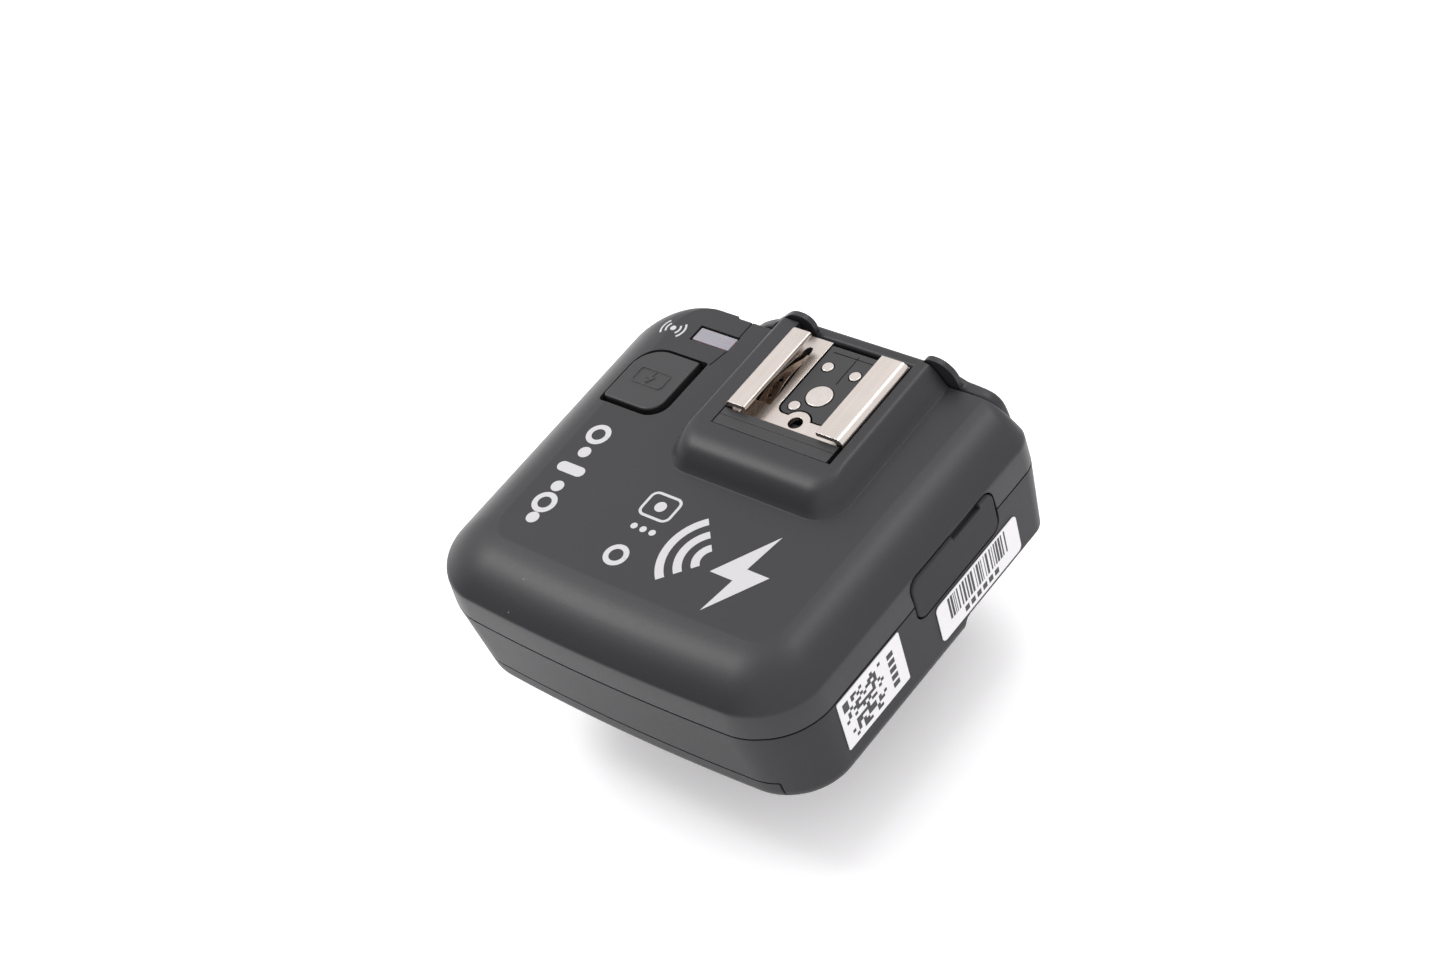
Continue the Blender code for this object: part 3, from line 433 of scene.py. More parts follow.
SHELL = (0.0185, 0.018, 0.02)
MAT = {
    "shell": plastic("shell_plastic_look", SHELL, 0.38, 0.3, 0.22, specks=0.035, spec=0.34),
    # painted shade: the lower housing and battery cover use a darker, less glossy copy of the shell plastic so their
    # walls look shaded
    "lower": plastic("lower_shell_shaded_copy_look", (0.0165, 0.016, 0.018), 0.42, 0.3, 0.22, specks=0.025, spec=0.2),
    "panel": plastic("rear_panel_look", (0.017, 0.0165, 0.0185), 0.4, 0.28, 0.2, specks=0.02, spec=0.34),
    "control": plastic("key_look", (0.016, 0.0155, 0.0172), 0.44, 0.2, 0.2, specks=0.012),
    "insert": plastic("insert_look", (0.013, 0.0125, 0.014), 0.42, 0.15, 0.15, specks=0.01),
    "rubber": plastic("cover_rubber_look", (0.014, 0.0135, 0.015), 0.68, 0.45, 0.25, specks=0.02, spec=0.35),
    "foot": plastic("foot_plastic_look", (0.015, 0.015, 0.016), 0.45, 0.22, 0.12),
    "shoe": metal("shoe_nickel_look", (0.55, 0.5, 0.465), 0.27, (1, 0.05, 1), 0.1, 0.12),
    "leaf": metal("spring_nickel_look", (0.42, 0.34, 0.28), 0.16, (1, 0.1, 1), 0.08, 0.08),
    "contact": metal("contact_nickel_look", (0.55, 0.51, 0.48), 0.3, (1, 1, 1), 0.2, 0.08),
    "plate": metal("foot_metal_look", (0.56, 0.56, 0.57), 0.32, (1, 0.06, 1), 0.2, 0.2),
    "brass": metal("brass_look", (0.72, 0.52, 0.24), 0.3, (1, 1, 0.1), 0.15, 0.1),
    "can": metal("tinned_look", (0.6, 0.6, 0.62), 0.34, (1, 1, 1), 0.1, 0.1),
    "steel": metal("screw_look", (0.2, 0.2, 0.21), 0.36, (1, 1, 1), 0.2, 0.08),
    "nickel": metal("battery_contact_look", (0.7, 0.67, 0.62), 0.25, (1, 1, 1), 0.1, 0.08),
    "lamp": frosted("lamp_look", (0.25, 0.24, 0.27)),
    "window": glossy("display_window_look", (0.012, 0.013, 0.015), 0.05, 1.0),
    "lcd": glossy("display_panel_look", (0.12, 0.14, 0.115), 0.22, 0.6),
    "board": board("board_look"),
    "part": glossy("component_look", (0.015, 0.015, 0.016), 0.3, 0.2),
    "cell": glossy("cell_jacket_look", (0.035, 0.045, 0.06), 0.22, 0.5),
    "emitter": frosted("emitter_look", (0.7, 0.7, 0.64)),
    "paper": printed("label_paper_look", (0.66, 0.655, 0.665), 0.5),
    "ink": printed("label_ink_look", (0.02, 0.02, 0.022), 0.5),
    "white": printed("deck_print_look", (0.46, 0.455, 0.465), 0.5),
}
SLOT_LOOK = {
    "shell_plastic": "shell", "control_plastic": "control", "insert_plastic": "insert", "cover_rubber": "rubber",
    "shoe_metal": "shoe", "contact_metal": "contact", "foot_metal": "plate", "foot_plastic": "foot",
    "thread_brass": "brass", "lamp_plastic": "lamp", "display_window": "window", "display_panel": "lcd",
    "board": "board", "component_plastic": "part", "can_metal": "can", "cell_jacket": "cell",
    "spring_steel": "nickel", "screw_steel": "steel", "label_paper": "paper", "emitter": "emitter"}
NODE_SLOT = {s["node"]: s["material_slot"] for s in frame["record"]["subparts"]}


def paint(obj, look):
    obj.data.materials.clear()
    obj.data.materials.append(MAT[look])
    return obj


for node_name, node_obj in NODES.items():
    paint(node_obj, SLOT_LOOK[NODE_SLOT[node_name]])


def piece(obj, name, look, body, stands_for=()):
    """Name a finished piece, give it its material and fix it to its body."""
    obj.name = name
    obj.data.name = name
    paint(obj, look)
    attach(obj, body)
    if stands_for:
        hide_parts(*stands_for)
    return obj


# ---------------------------------------------------------------- top shell
TOP_WALL = [(0.0, 0.0, 33.25), (0.06, 0.06, 34.4), (0.15, 0.15, 36.0), (0.24, 0.24, 37.2)]
TOP_CURVE = curve_through([(0.3, 0.29, 37.6), (0.72, 0.63, 38.1), (2.6, 2.2, 39.45), (4.8, 4.0, 40.6),
                           (7.2, 6.0, 41.4), (9.8, 8.2, 41.8)], 4)
rings = [(outline(f, s, max(0.0, (z - 37.6) / 4.2 * 0.5)), z) for f, s, z in TOP_WALL + TOP_CURVE]
top = loft(rings)

PED = [(0.0, 0.0, 41.2, 5.0), (0.0, 0.0, 41.75, 5.0), (0.7, 0.55, 42.4, 4.6), (1.6, 1.2, 43.6, 4.2),
       (3.0, 1.9, 44.7, 3.6), (4.8, 2.4, 45.3, 3.0), (6.7, 2.9, 45.5, 2.4)]
ped_rings = []
for f, s, z, r in [PED[0]] + curve_through(PED[1:], 4):
    ped_rings.append((rounded((-10.7 + s, 21.2 - s - 0.3 * f / 6.7), (-0.6 + f, REAR_Y + 3.0),
                              (r, r, 0.0, 0.0), 14), z))
join(top, loft(ped_rings))
cavity = loft([(outline(2.0, 2.0, 2.6), 30.0), (outline(2.3, 2.3, 2.7), 37.4),
               (outline(4.4, 4.0, 3.0), 38.6), (outline(7.4, 6.4, 3.4), 39.4),
               (outline(9.6, 8.4, 3.8), 39.8)])
cut(top, cavity)
cut(top, box((PANEL_LEFT_X - GAP, 60), (REAR_Y, 60), (10, 60)))
cut(top, box((-15.4, 27.0), (25.2, 60), (REAR_BASE_Z + WALL + 0.3, 39.5)))
cut(top, box((SHOE_X - RAIL_HALF - 0.16, SHOE_X + RAIL_HALF + 0.2), (10.4, 60), (PLATE_Z - PLATE_T - GAP, 60)))
cut(top, box((SHOE_X - RAIL_HALF - 0.16, SHOE_X + RAIL_HALF + 0.2), (7.0, 10.6), (42.6, 60)))
cut(top, box((0.8, 10.9), (13.6, 28.9), (30, 44)))
TEST_X, TEST_Y = (-28.3, -16.2), (6.5, 19.5)
LAMP_X, LAMP_Y = (-22.6, -14.9), (22.7, 26.0)
cut(top, prism(rounded(TEST_X, TEST_Y, (1.0, 3.4, 0.5, 4.9)), 'Z', (38, 45)))
cut(top, box(LAMP_X, LAMP_Y, (38, 45)))
# the fine seam that runs from the back edge, past the lamp, to the button
cut(top, box((-15.28, -15.06), (25.8, 32), (41.2, 45)))
cut(top, prism([(-15.22, 23.0), (-15.0, 23.0), (-15.78, 19.2), (-16.0, 19.2)], 'Z', (41.3, 45)))
PORT_Y, PORT_Z = (-1.8, 18.0), (29.6, 37.3)


def port_tool():
    return prism(rounded((PORT_Y[0] - GAP, PORT_Y[1] + GAP), (PORT_Z[0] - GAP, PORT_Z[1] + GAP),
                         (2.1,) * 4, 10), 'X', (31.0, 40.0))


cut(top, port_tool())
piece(smooth(top), "upper_housing", "shell", "housing", ["top_shell"])
top_tree = BVHTree.FromObject(top, bpy.context.evaluated_depsgraph_get())


# ---------------------------------------------------------------- bottom shell and battery door
def lower_rings(z_top, steps=8):
    out = []
    for k in range(steps + 1):
        a = math.radians(90.0 * k / steps)
        inset = DRAFT + BASE_R * (1 - math.sin(a))
        out.append((outline(inset, inset, min(inset, 2.0), right=inset - DRAFT + DRAFT_RIGHT),
                    BASE_Z + BASE_R * (1 - math.cos(a))))
    out.append((outline(0.0, 0.0, 0.0), z_top))
    return out


low = loft(lower_rings(PARTING_Z - 0.15))
cut(low, prism([(STEP_Y, 0.0), (60.0, 0.0), (60.0, REAR_BASE_Z), (STEP_Y + 1.4, REAR_BASE_Z),
                (STEP_Y + 0.7, REAR_BASE_Z - 0.18), (STEP_Y + 0.2, REAR_BASE_Z - 0.65), (STEP_Y, REAR_BASE_Z - 1.3)],
               'X', (-60, 60)))
cut(low, loft([(outline(3.1, 3.1, 3.2, right=2.9), REAR_BASE_Z + WALL), (outline(WALL, WALL, 2.6), PARTING_Z + 1.0)]))
cut(low, box((PANEL_LEFT_X - GAP, 60), (REAR_Y, 60), (10, 60)))
cut(low, box((-15.4, 27.0), (25.2, 60), (REAR_BASE_Z + WALL + 0.3, 39.5)))
join(low, prism(rounded((-28.2, 28.2), (-28.9, 3.4), (3.2, 3.2, 0.0, 0.0), 6), 'Z', (21.0, 35.1)))
cut(low, prism(rounded((-27.1, 27.1), (-27.9, 2.3), (2.0, 2.0, 0.5, 0.5), 6), 'Z', (10, 34.0)))
DOOR_X, DOOR_REAR, DOOR_TOP, LIP_X, LIP_TOP = 29.0, 4.4, 18.9, 27.6, 22.0
cut(low, box((-DOOR_X - GAP, DOOR_X + GAP), (-60, DOOR_REAR + GAP), (10, DOOR_TOP + GAP)))
lip_seat = box((-LIP_X - GAP, LIP_X + GAP), (-60, -20), (10, LIP_TOP + GAP))
cut(lip_seat, loft([(outline(2.35, 2.35, 2.35), 9.0), (outline(2.35, 2.35, 2.35), 30.0)]))
cut(low, lip_seat)
cut(low, port_tool())
for x, y in ((-28.0, 23.2), (28.2, 23.6)):
    join(low, cyl((x, y, 27.1), 'Z', 12.2, 2.6, seg=24))
    cut(low, cyl((x, y, 20.6), 'Z', 4.2, 2.5, seg=32), cyl((x, y, 28.0), 'Z', 16, 1.35, seg=20))
cut(low, cyl((SHOE_X, SHOE_Y, 21), 'Z', 6, 6.5, seg=64))
SW_Y, SW_Z = 12.0, 27.6
cut(low, prism(rounded((SW_Y - 6.0, SW_Y + 6.0), (SW_Z - 2.6, SW_Z + 2.6), (1.2,) * 4, 6), 'X', (-40.0, -33.9)))
cut(low, box((-36, -31), (SW_Y - 3.5, SW_Y + 3.5), (SW_Z - 1.0, SW_Z + 1.0)))
# painted shade: the lower housing takes the darker copy of the shell plastic
piece(smooth(low), "lower_housing", "lower", "housing", ["bottom_shell"])

door = box((-DOOR_X, DOOR_X), (-60, DOOR_REAR), (10, DOOR_TOP))
lip = box((-LIP_X, LIP_X), (-60, -20), (DOOR_TOP - 1.0, LIP_TOP))
cut(lip, loft([(outline(2.05, 2.05, 2.05), 12.0), (outline(2.05, 2.05, 2.05), 30.0)]))
join(door, lip)
keep(door, loft(lower_rings(PARTING_Z)))
for k in range(4):
    y = -1.0 + 1.4 * k
    cut(door, box((-7, 7), (y, y + 0.6), (10, BASE_Z + 0.45)))
# an arrow that shows which way it slides
arrow = prism([(0.0, -14.0), (3.2, -10.6), (1.2, -10.6), (1.2, -7.0), (-1.2, -7.0), (-1.2, -10.6), (-3.2, -10.6)],
              'Z', (16.8, BASE_Z + 0.3))
cut(door, arrow)
piece(smooth(door), "battery_cover", "lower", "battery_cover", ["battery_door"])

# ---------------------------------------------------------------- rear panel
right_curve = curve_through([(29.8, 31.0), (29.8, 33.6), (29.5, 36.3), (28.95, 39.2), (28.0, 40.6), (26.4, 41.35),
                             (22.9, 41.75)], 5)
left_curve = curve_through([(-6.2, 43.3), (-9.8, 42.9), (-11.7, 42.15), (-13.9, 40.95), (-15.3, 39.95),
                            (-16.7, 38.5), (-17.55, 36.5), (-17.9, 34.0), (-17.9, 31.0)], 5)
panel_pts = ([(PANEL_LEFT_X, 21.9), (-17.55, 21.05), (-16.7, 20.7), (28.6, 20.7), (29.45, 21.05), (29.8, 21.9)]
             + right_curve + [(20.6, 42.7), (17.5, 43.3)] + left_curve)
panel = prism(panel_pts, 'Y', (REAR_Y + GAP, BACK_Y))
soften(panel, 0.7, 4, 50)
lug_l = prism(curve_through([(-11.6, 41.8), (-10.6, 43.1), (-9.2, 44.3), (-7.5, 45.75), (-6.2, 46.35), (-4.6, 46.35),
                             (-3.4, 45.7), (-2.8, 44.4), (-2.7, 41.8)], 4), 'Y', (REAR_Y + GAP, REAR_Y + GAP + 0.95))
lug_r = prism(curve_through([(16.6, 41.6), (16.7, 44.2), (17.3, 45.4), (18.2, 45.95), (19.6, 45.95), (20.9, 45.45),
                             (22.2, 44.1), (22.9, 41.6)], 4), 'Y', (REAR_Y + GAP, REAR_Y + GAP + 0.95))
join(panel, lug_l)
join(panel, lug_r)
LCD_X, LCD_Z = (-14.6, 13.6), (24.6, 39.4)
cut(panel, prism(rounded(LCD_X, LCD_Z, (0.6,) * 4, 5), 'Y', (31.0, 40)))
cut(panel, box((LCD_X[0] + 2, LCD_X[1] - 2), (20, 40), (LCD_Z[0] + 2, LCD_Z[1] - 2)))
BTN_X, BTN_W, BTN_H = 21.0, 9.0, 5.0
REAR_KEYS = {"channel": 36.2, "group": 28.4}
for z in REAR_KEYS.values():
    cut(panel, prism(rounded((BTN_X - BTN_W / 2 - GAP, BTN_X + BTN_W / 2 + GAP),
                             (z - BTN_H / 2 - GAP, z + BTN_H / 2 + GAP), (2.3,) * 4, 10), 'Y', (20, 40)))
piece(smooth(panel), "display_panel_housing", "panel", "housing", ["rear_panel"])

window = prism(rounded((LCD_X[0] + GAP, LCD_X[1] - GAP), (LCD_Z[0] + GAP, LCD_Z[1] - GAP), (0.45,) * 4, 6),
               'Y', (31.0 + GAP, BACK_Y - 0.05))
soften(window, 0.18, 3, 50)
piece(smooth(window), "display_glass", "window", "housing", ["lcd_window"])
active = prism(rounded((LCD_X[0] + 2.3, LCD_X[1] - 2.3), (LCD_Z[0] + 2.1, LCD_Z[1] - 1.9), (0.25,) * 4, 4),
               'Y', (BACK_Y - 0.07, BACK_Y - 0.035))
piece(active, "display_active_area", "lcd", "housing", ())

for key_name, z in REAR_KEYS.items():
    cap = prism(rounded((BTN_X - BTN_W / 2, BTN_X + BTN_W / 2), (z - BTN_H / 2, z + BTN_H / 2), (2.0,) * 4, 12),
                'Y', (29.3, 32.5))
    soften(cap, 0.45, 4, 60)
    if key_name == "channel":      # an engraved ring on one key, a wedge on the other
        engraving = cyl((BTN_X, 32.5, z), 'Y', 0.3, 1.15, seg=40)
        cut(engraving, cyl((BTN_X, 32.5, z), 'Y', 1.0, 0.8, seg=40))
    else:
        engraving = prism([(BTN_X + 1.2, z - 0.85), (BTN_X - 1.2, z - 0.85), (BTN_X, z + 1.1)], 'Y', (32.35, 33.0))
    cut(cap, engraving)
    join(cap, prism(rounded((BTN_X - BTN_W / 2 - 0.9, BTN_X + BTN_W / 2 + 0.9),
                            (z - BTN_H / 2 - 0.8, z + BTN_H / 2 + 0.8), (2.0,) * 4, 6), 'Y', (28.8, 29.5)))
    piece(smooth(cap), key_name + "_key_cap", "control", key_name + "_key", [key_name + "_button"])


# ---------------------------------------------------------------- shoe
def shoe_profile(n=10):
    x0, x1 = SHOE_X - RAIL_HALF, SHOE_X + RAIL_HALF
    i0, i1 = SHOE_X - SLOT_HALF, SHOE_X + SLOT_HALF
    b, p, u, t = PLATE_Z - PLATE_T, PLATE_Z, RAIL_TOP_Z - LIP_T, RAIL_TOP_Z
    r, ri = 1.1, 0.35

    def arc(cx, cz, rad, a0, a1, m):
        return [(cx + rad * math.cos(math.radians(a0 + (a1 - a0) * k / m)),
                 cz + rad * math.sin(math.radians(a0 + (a1 - a0) * k / m))) for k in range(m + 1)]
    pts = arc(x0 + 0.6, b + 0.6, 0.6, 180, 270, 5) + arc(x1 - 0.6, b + 0.6, 0.6, 270, 360, 5)
    pts += arc(x1 - r, t - r, r, 0, 90, n)
    pts += arc(LIP_R + 0.2, t - 0.2, 0.2, 90, 180, 4) + arc(LIP_R + 0.15, u + 0.15, 0.15, 180, 270, 3)
    pts += arc(i1 - ri, u - ri, ri, 90, 0, 4)
    pts += arc(i1 - ri, p + ri, ri, 0, -90, 4) + arc(i0 + ri, p + ri, ri, 270, 180, 4)
    pts += arc(i0 + ri, u - ri, ri, 180, 90, 4)
    pts += arc(LIP_L - 0.15, u + 0.15, 0.15, 270, 360, 3) + arc(LIP_L - 0.2, t - 0.2, 0.2, 0, 90, 4)
    pts += arc(x0 + r, t - r, r, 90, 180, n)
    return pts


rails = prism(shoe_profile(), 'Y', (RAIL_Y0, RAIL_Y1))
join(rails, box((SHOE_X - SLOT_HALF + 0.2, SHOE_X + SLOT_HALF - 0.2), (10.75, 29.1),
                (PLATE_Z - PLATE_T + 0.004, PLATE_Z - 0.004)))
cut(rails, prism(rounded((1.1, 10.6), (13.9, 40), (1.6, 1.6, 0, 0)), 'Z', (40, 44.5)))
join(rails, cyl((5.6, 13.2, PLATE_Z - PLATE_T / 2 - 0.002), 'Z', PLATE_T - 0.012, 2.1, seg=56))
cut(rails, cyl((5.6, 13.0, 43), 'Z', 4, 1.15, seg=40))
slot_pts = curve_through([(-3.3, 14.6), (-3.3, 17.0), (-2.75, 21.6), (-2.15, 26.3), (-1.5, 26.95), (-0.95, 26.3),
                          (-0.5, 21.6), (-0.2, 17.0), (-0.2, 14.6)], 4)
cut(rails, prism(slot_pts, 'Z', (40, 44.5)))
soften(rails, 0.09, 2, 55)
piece(smooth(rails, 28), "flash_shoe", "shoe", "housing", ["shoe_rails"])

leaf_line = []
for k in range(25):
    t = k / 24
    leaf_line.append((14.9 + 11.2 * t, 43.05 + 0.95 * math.sin(math.pi * min(1.0, t * 1.1))))
leaf = prism([(y, z) for y, z in leaf_line] + [(y, z - 0.3) for y, z in reversed(leaf_line)], 'X', (-2.9, -0.6))
keep(leaf, prism([(-2.95, 14.0), (-0.5, 14.0), (-0.55, 17.0), (-1.2, 26.0), (-1.8, 26.0), (-2.9, 17.0)], 'Z', (40, 46)))
cut(leaf, cyl((-1.6, 19.3, 43.5), 'Z', 4, 0.42, seg=24))
cut(leaf, cyl((-1.7, 16.4, 43.5), 'Z', 4, 0.3, seg=24))
piece(smooth(leaf, 28), "shoe_leaf", "leaf", "housing", ["shoe_spring"])

block = prism(rounded((1.4, 10.3), (14.2, 28.6), (1.3, 1.3, 0.4, 0.4)), 'Z', (40.1, PLATE_Z - 0.05))
cut(block, cyl((5.6, 13.2, 43), 'Z', 8, 2.4, seg=56))
CONTACTS = {"shoe_centre_contact": (5.75, 18.9, 2.1), "shoe_contact_1": (3.3, 24.5, 0.95),
            "shoe_contact_2": (8.35, 24.4, 0.95), "shoe_contact_3": (3.3, 15.9, 0.95)}
for x, y, r in CONTACTS.values():
    cut(block, cyl((x, y, 42), 'Z', 8, r + 0.12, seg=48))
# shallow channels and a rib across the insert
cut(block, box((6.5, 6.68), (21.9, 28.0), (43.55, 45)), box((2.2, 9.4), (27.4, 27.58), (43.55, 45)))
soften(block, 0.1, 2, 60)
piece(smooth(block), "contact_insert", "insert", "housing", ["shoe_contact_block"])
for name, (x, y, r) in CONTACTS.items():
    pin = cyl((x, y, 41.85), 'Z', 4.1, r, seg=56)
    soften(pin, 0.18, 4, 60)
    piece(smooth(pin), name + "_pin", "contact", "housing", [name])

stop = box((SHOE_X - RAIL_HALF - 0.02, 15.75), (7.14, 10.42), (42.9, 45.42))
cut(stop, box((-60, 60), (8.98, 9.08), (45.32, 46)))
soften(stop, 0.1, 2, 60)
piece(smooth(stop), "shoe_front_bar", "insert", "housing", ["shoe_front_stop"])

# ---------------------------------------------------------------- test button with its raised mark
button = prism(rounded((TEST_X[0] + GAP, TEST_X[1] - 1.5), (TEST_Y[0] + 1.0, TEST_Y[1] - GAP),
                       (0.8, 2.9, 0.35, 4.6), 14), 'Z', (38.8, DECK_Z))
soften(button, 0.35, 4, 60)
join(button, box((TEST_X[0] - 0.5, TEST_X[1] + 0.4), (TEST_Y[0] - 0.6, TEST_Y[1] + 0.5), (38.5, 39.0)))


def ring_shape(x, y, r, t):
    """Outer and inner rounded outlines of a frame of wall t."""
    return (rounded(x, y, (r,) * 4, 6),
            rounded((x[0] + t, x[1] - t), (y[0] + t, y[1] - t), (max(r - t, 0.06),) * 4, 6))


frame_out, frame_in = ring_shape((-25.9, -19.9), (11.7, 15.1), 0.7, 0.28)
mark = prism(frame_out, 'Z', (DECK_Z - 0.2, DECK_Z + 0.13))
cut(mark, prism(frame_in, 'Z', (DECK_Z - 0.5, DECK_Z + 0.5)))
BOLT = [(0.18, 1.0), (-0.62, -0.12), (-0.06, -0.12), (-0.22, -1.0), (0.62, 0.2), (0.04, 0.2)]
bolt = prism([(-22.9 - 1.25 * px, 13.4 - 1.25 * py) for px, py in BOLT], 'Z', (DECK_Z - 0.2, DECK_Z + 0.13))
join(button, mark)
join(button, bolt)
piece(smooth(button), "test_key_cap", "control", "test_key", ["test_button"])

lamp = box((LAMP_X[0] + GAP, LAMP_X[1] - GAP), (LAMP_Y[0] + GAP, LAMP_Y[1] - GAP), (38.9, DECK_Z - 0.06))
soften(lamp, 0.2, 3, 60)
piece(smooth(lamp), "status_lamp", "lamp", "housing", ["status_window"])

# ---------------------------------------------------------------- port cover
cover = prism(rounded(PORT_Y, PORT_Z, (1.8,) * 4, 12), 'X', (33.1, 35.0))
for v in cover.data.vertices:
    if v.co.x > 34.0 * MM:
        v.co.x = (right_x(v.co.y / MM, v.co.z / MM) + 0.1) * MM
soften(cover, 0.3, 3, 60)
cut(cover, box((33.9, 36), (8.2, 14.9), (36.55, 38)))
cut(cover, prism(rounded((0.6, 16.2), (31.2, 35.8), (1.0,) * 4, 6), 'X', (33.0, 34.0)))
piece(smooth(cover), "rubber_cover", "rubber", "socket_cover", ["port_cover"])

# ---------------------------------------------------------------- locking foot
ring_pts = []
for k in range(240):
    a = 2 * math.pi * k / 240
    groove = 0.5 + 0.5 * math.cos(20 * a)
    ring_pts.append((12.5 - 0.75 * groove ** 3, a))
prof = [(-2.4, 0.6), (-2.25, 0.25), (-1.9, 0.0), (1.9, 0.0), (2.25, 0.25), (2.4, 0.6)]
ring = loft([([(SHOE_X + (r - i) * math.cos(a), SHOE_Y + (r - i) * math.sin(a)) for r, a in ring_pts], 9.4 + z)
             for z, i in prof])
cut(ring, cyl((SHOE_X, SHOE_Y, 9.4), 'Z', 10, 6.5, seg=64))
piece(smooth(ring, 40), "clamp_wheel", "foot", "clamp_ring", ["lock_ring"])



NECK_SCREWS = {"neck_screw_1": (SHOE_X - 10.2, SHOE_Y - 3.6), "neck_screw_2": (SHOE_X + 10.2, SHOE_Y - 3.6),
               "neck_screw_3": (SHOE_X - 10.2, SHOE_Y + 3.6), "neck_screw_4": (SHOE_X + 10.2, SHOE_Y + 3.6)}
FOOT_HOLES = ((SHOE_X - 5.2, SHOE_Y), (SHOE_X + 5.2, SHOE_Y))
NECK_R, THREAD_PITCH, THREAD_DEPTH = 6.2, 1.5, 0.24
neck_rings = []
for i in range(111):
    z = 2.3 + 22.3 * i / 110
    fade = max(0.0, min(1.0, (z - 2.6) / 0.5, (20.4 - z) / 0.8))
    pts = []
    for k in range(72):
        a = 2 * math.pi * k / 72
        wave = abs(((z / THREAD_PITCH - k / 72) % 1.0) * 2 - 1)
        r = NECK_R - THREAD_DEPTH * fade * wave
        pts.append((SHOE_X + r * math.cos(a), SHOE_Y + r * math.sin(a)))
    neck_rings.append((pts, z))
neck = loft(neck_rings)
cut(neck, box((-5, 20), (SHOE_Y + 5.2, 40), (0, 12.0)), box((-5, 20), (0, SHOE_Y - 5.2), (0, 12.0)))
join(neck, prism(rounded((SHOE_X - 13.0, SHOE_X + 13.0), (SHOE_Y - 6.0, SHOE_Y + 6.0), (1.5,) * 4, 8), 'Z', (22.8, 24.3)))
cut(neck, cyl((SHOE_X, SHOE_Y, 5), 'Z', 10.6, 3.9, seg=64))
for x, y in FOOT_HOLES:
    cut(neck, cyl((x, y, 3.6), 'Z', 6.4, 0.75, seg=16))
for x, y in NECK_SCREWS.values():
    cut(neck, cyl((x, y, 23), 'Z', 6, 1.15, seg=16))
piece(smooth(neck, 40), "threaded_neck", "foot", "housing", ["foot_neck"])

foot = prism(rounded((SHOE_X - 9.25, SHOE_X + 9.25), (SHOE_Y - 9.0, SHOE_Y + 9.0), (2.0, 2.0, 1.0, 1.0), 10), 'Z', (0.0, 2.0))
soften(foot, 0.3, 4, 50)
cut(foot, cyl((SHOE_X, SHOE_Y, 1), 'Z', 6, 3.4, seg=64))
for x, y in FOOT_HOLES:
    cut(foot, cyl((x, y, 0), 'Z', 2.6, 1.5, seg=32), cyl((x, y, 1), 'Z', 6, 0.85, seg=20))
piece(smooth(foot), "shoe_foot", "plate", "housing", ["foot_plate"])

clamp = prism(rounded((SHOE_X - 11.0, SHOE_X + 11.0), (SHOE_Y - 10.5, SHOE_Y + 10.5), (2.5,) * 4, 12), 'Z', (4.7, 6.7))
soften(clamp, 0.35, 4, 50)
hole = cyl((SHOE_X, SHOE_Y, 6), 'Z', 6, NECK_R + GAP, seg=72)
cut(hole, box((-5, 20), (SHOE_Y + 5.5, 40), (0, 12.0)), box((-5, 20), (0, SHOE_Y - 5.5), (0, 12.0)))
cut(clamp, hole)
piece(smooth(clamp), "clamp_pressure_plate", "foot", "clamp_plate", ["lock_plate"])

# ---------------------------------------------------------------- prints and labels
def deck_print(pts, name, holes=(), lift=0.035):
    """A thin printed shape lying on the deck: outline in (x, y)."""
    shape = prism(pts, 'Z', (0.0, 0.03))
    for hole in holes:
        cut(shape, prism(hole, 'Z', (-1, 1)))
    bm = bmesh.new()
    bm.from_mesh(shape.data)
    bmesh.ops.triangulate(bm, faces=bm.faces)
    for _ in range(4):
        long = [e for e in bm.edges if e.calc_length() > 1.1 * MM]
        if long:
            bmesh.ops.subdivide_edges(bm, edges=long, cuts=1)
            bmesh.ops.triangulate(bm, faces=bm.faces)
    for v in bm.verts:
        hit = top_tree.ray_cast(Vector((v.co.x, v.co.y, 0.1)), Vector((0, 0, -1)))[0]
        ground = hit.z if hit else DECK_Z * MM
        v.co.z = ground + (lift * MM if v.co.z > 0.01 * MM else -0.03 * MM)
    bm.to_mesh(shape.data)
    bm.free()
    return piece(shape, name, "white", "housing", ())


def disc(x, y, r, n=36):
    return [(x + r * math.cos(2 * math.pi * k / n), y + r * math.sin(2 * math.pi * k / n)) for k in range(n)]


def pill(x0, y0, x1, y1, r, n=12):
    """A bar with round ends between two points."""
    a = math.atan2(y1 - y0, x1 - x0)
    pts = []
    for k in range(n + 1):
        t = a + math.pi / 2 + math.pi * k / n
        pts.append((x0 + r * math.cos(t), y0 + r * math.sin(t)))
    for k in range(n + 1):
        t = a - math.pi / 2 + math.pi * k / n
        pts.append((x1 + r * math.cos(t), y1 + r * math.sin(t)))
    return pts


def arc_band(cx, cy, r, w, a0, a1, n=28):
    """A curved band; angles in degrees."""
    out = [(cx + (r + w / 2) * math.cos(math.radians(a0 + (a1 - a0) * k / n)),
            cy + (r + w / 2) * math.sin(math.radians(a0 + (a1 - a0) * k / n))) for k in range(n + 1)]
    inn = [(cx + (r - w / 2) * math.cos(math.radians(a1 + (a0 - a1) * k / n)),
            cy + (r - w / 2) * math.sin(math.radians(a1 + (a0 - a1) * k / n))) for k in range(n + 1)]
    return out + inn


# the large mark: a bolt beside three waves, read from the display side
deck_print([(14.2 - 5.6 * px * 1.25, -12.7 - 7.9 * py) for px, py in BOLT], "print_bolt")
for k, r in enumerate((2.6, 5.2, 7.8)):
    deck_print(arc_band(9.2, -12.6, r, 1.3, 132, 228), "print_wave_%d" % (k + 1))
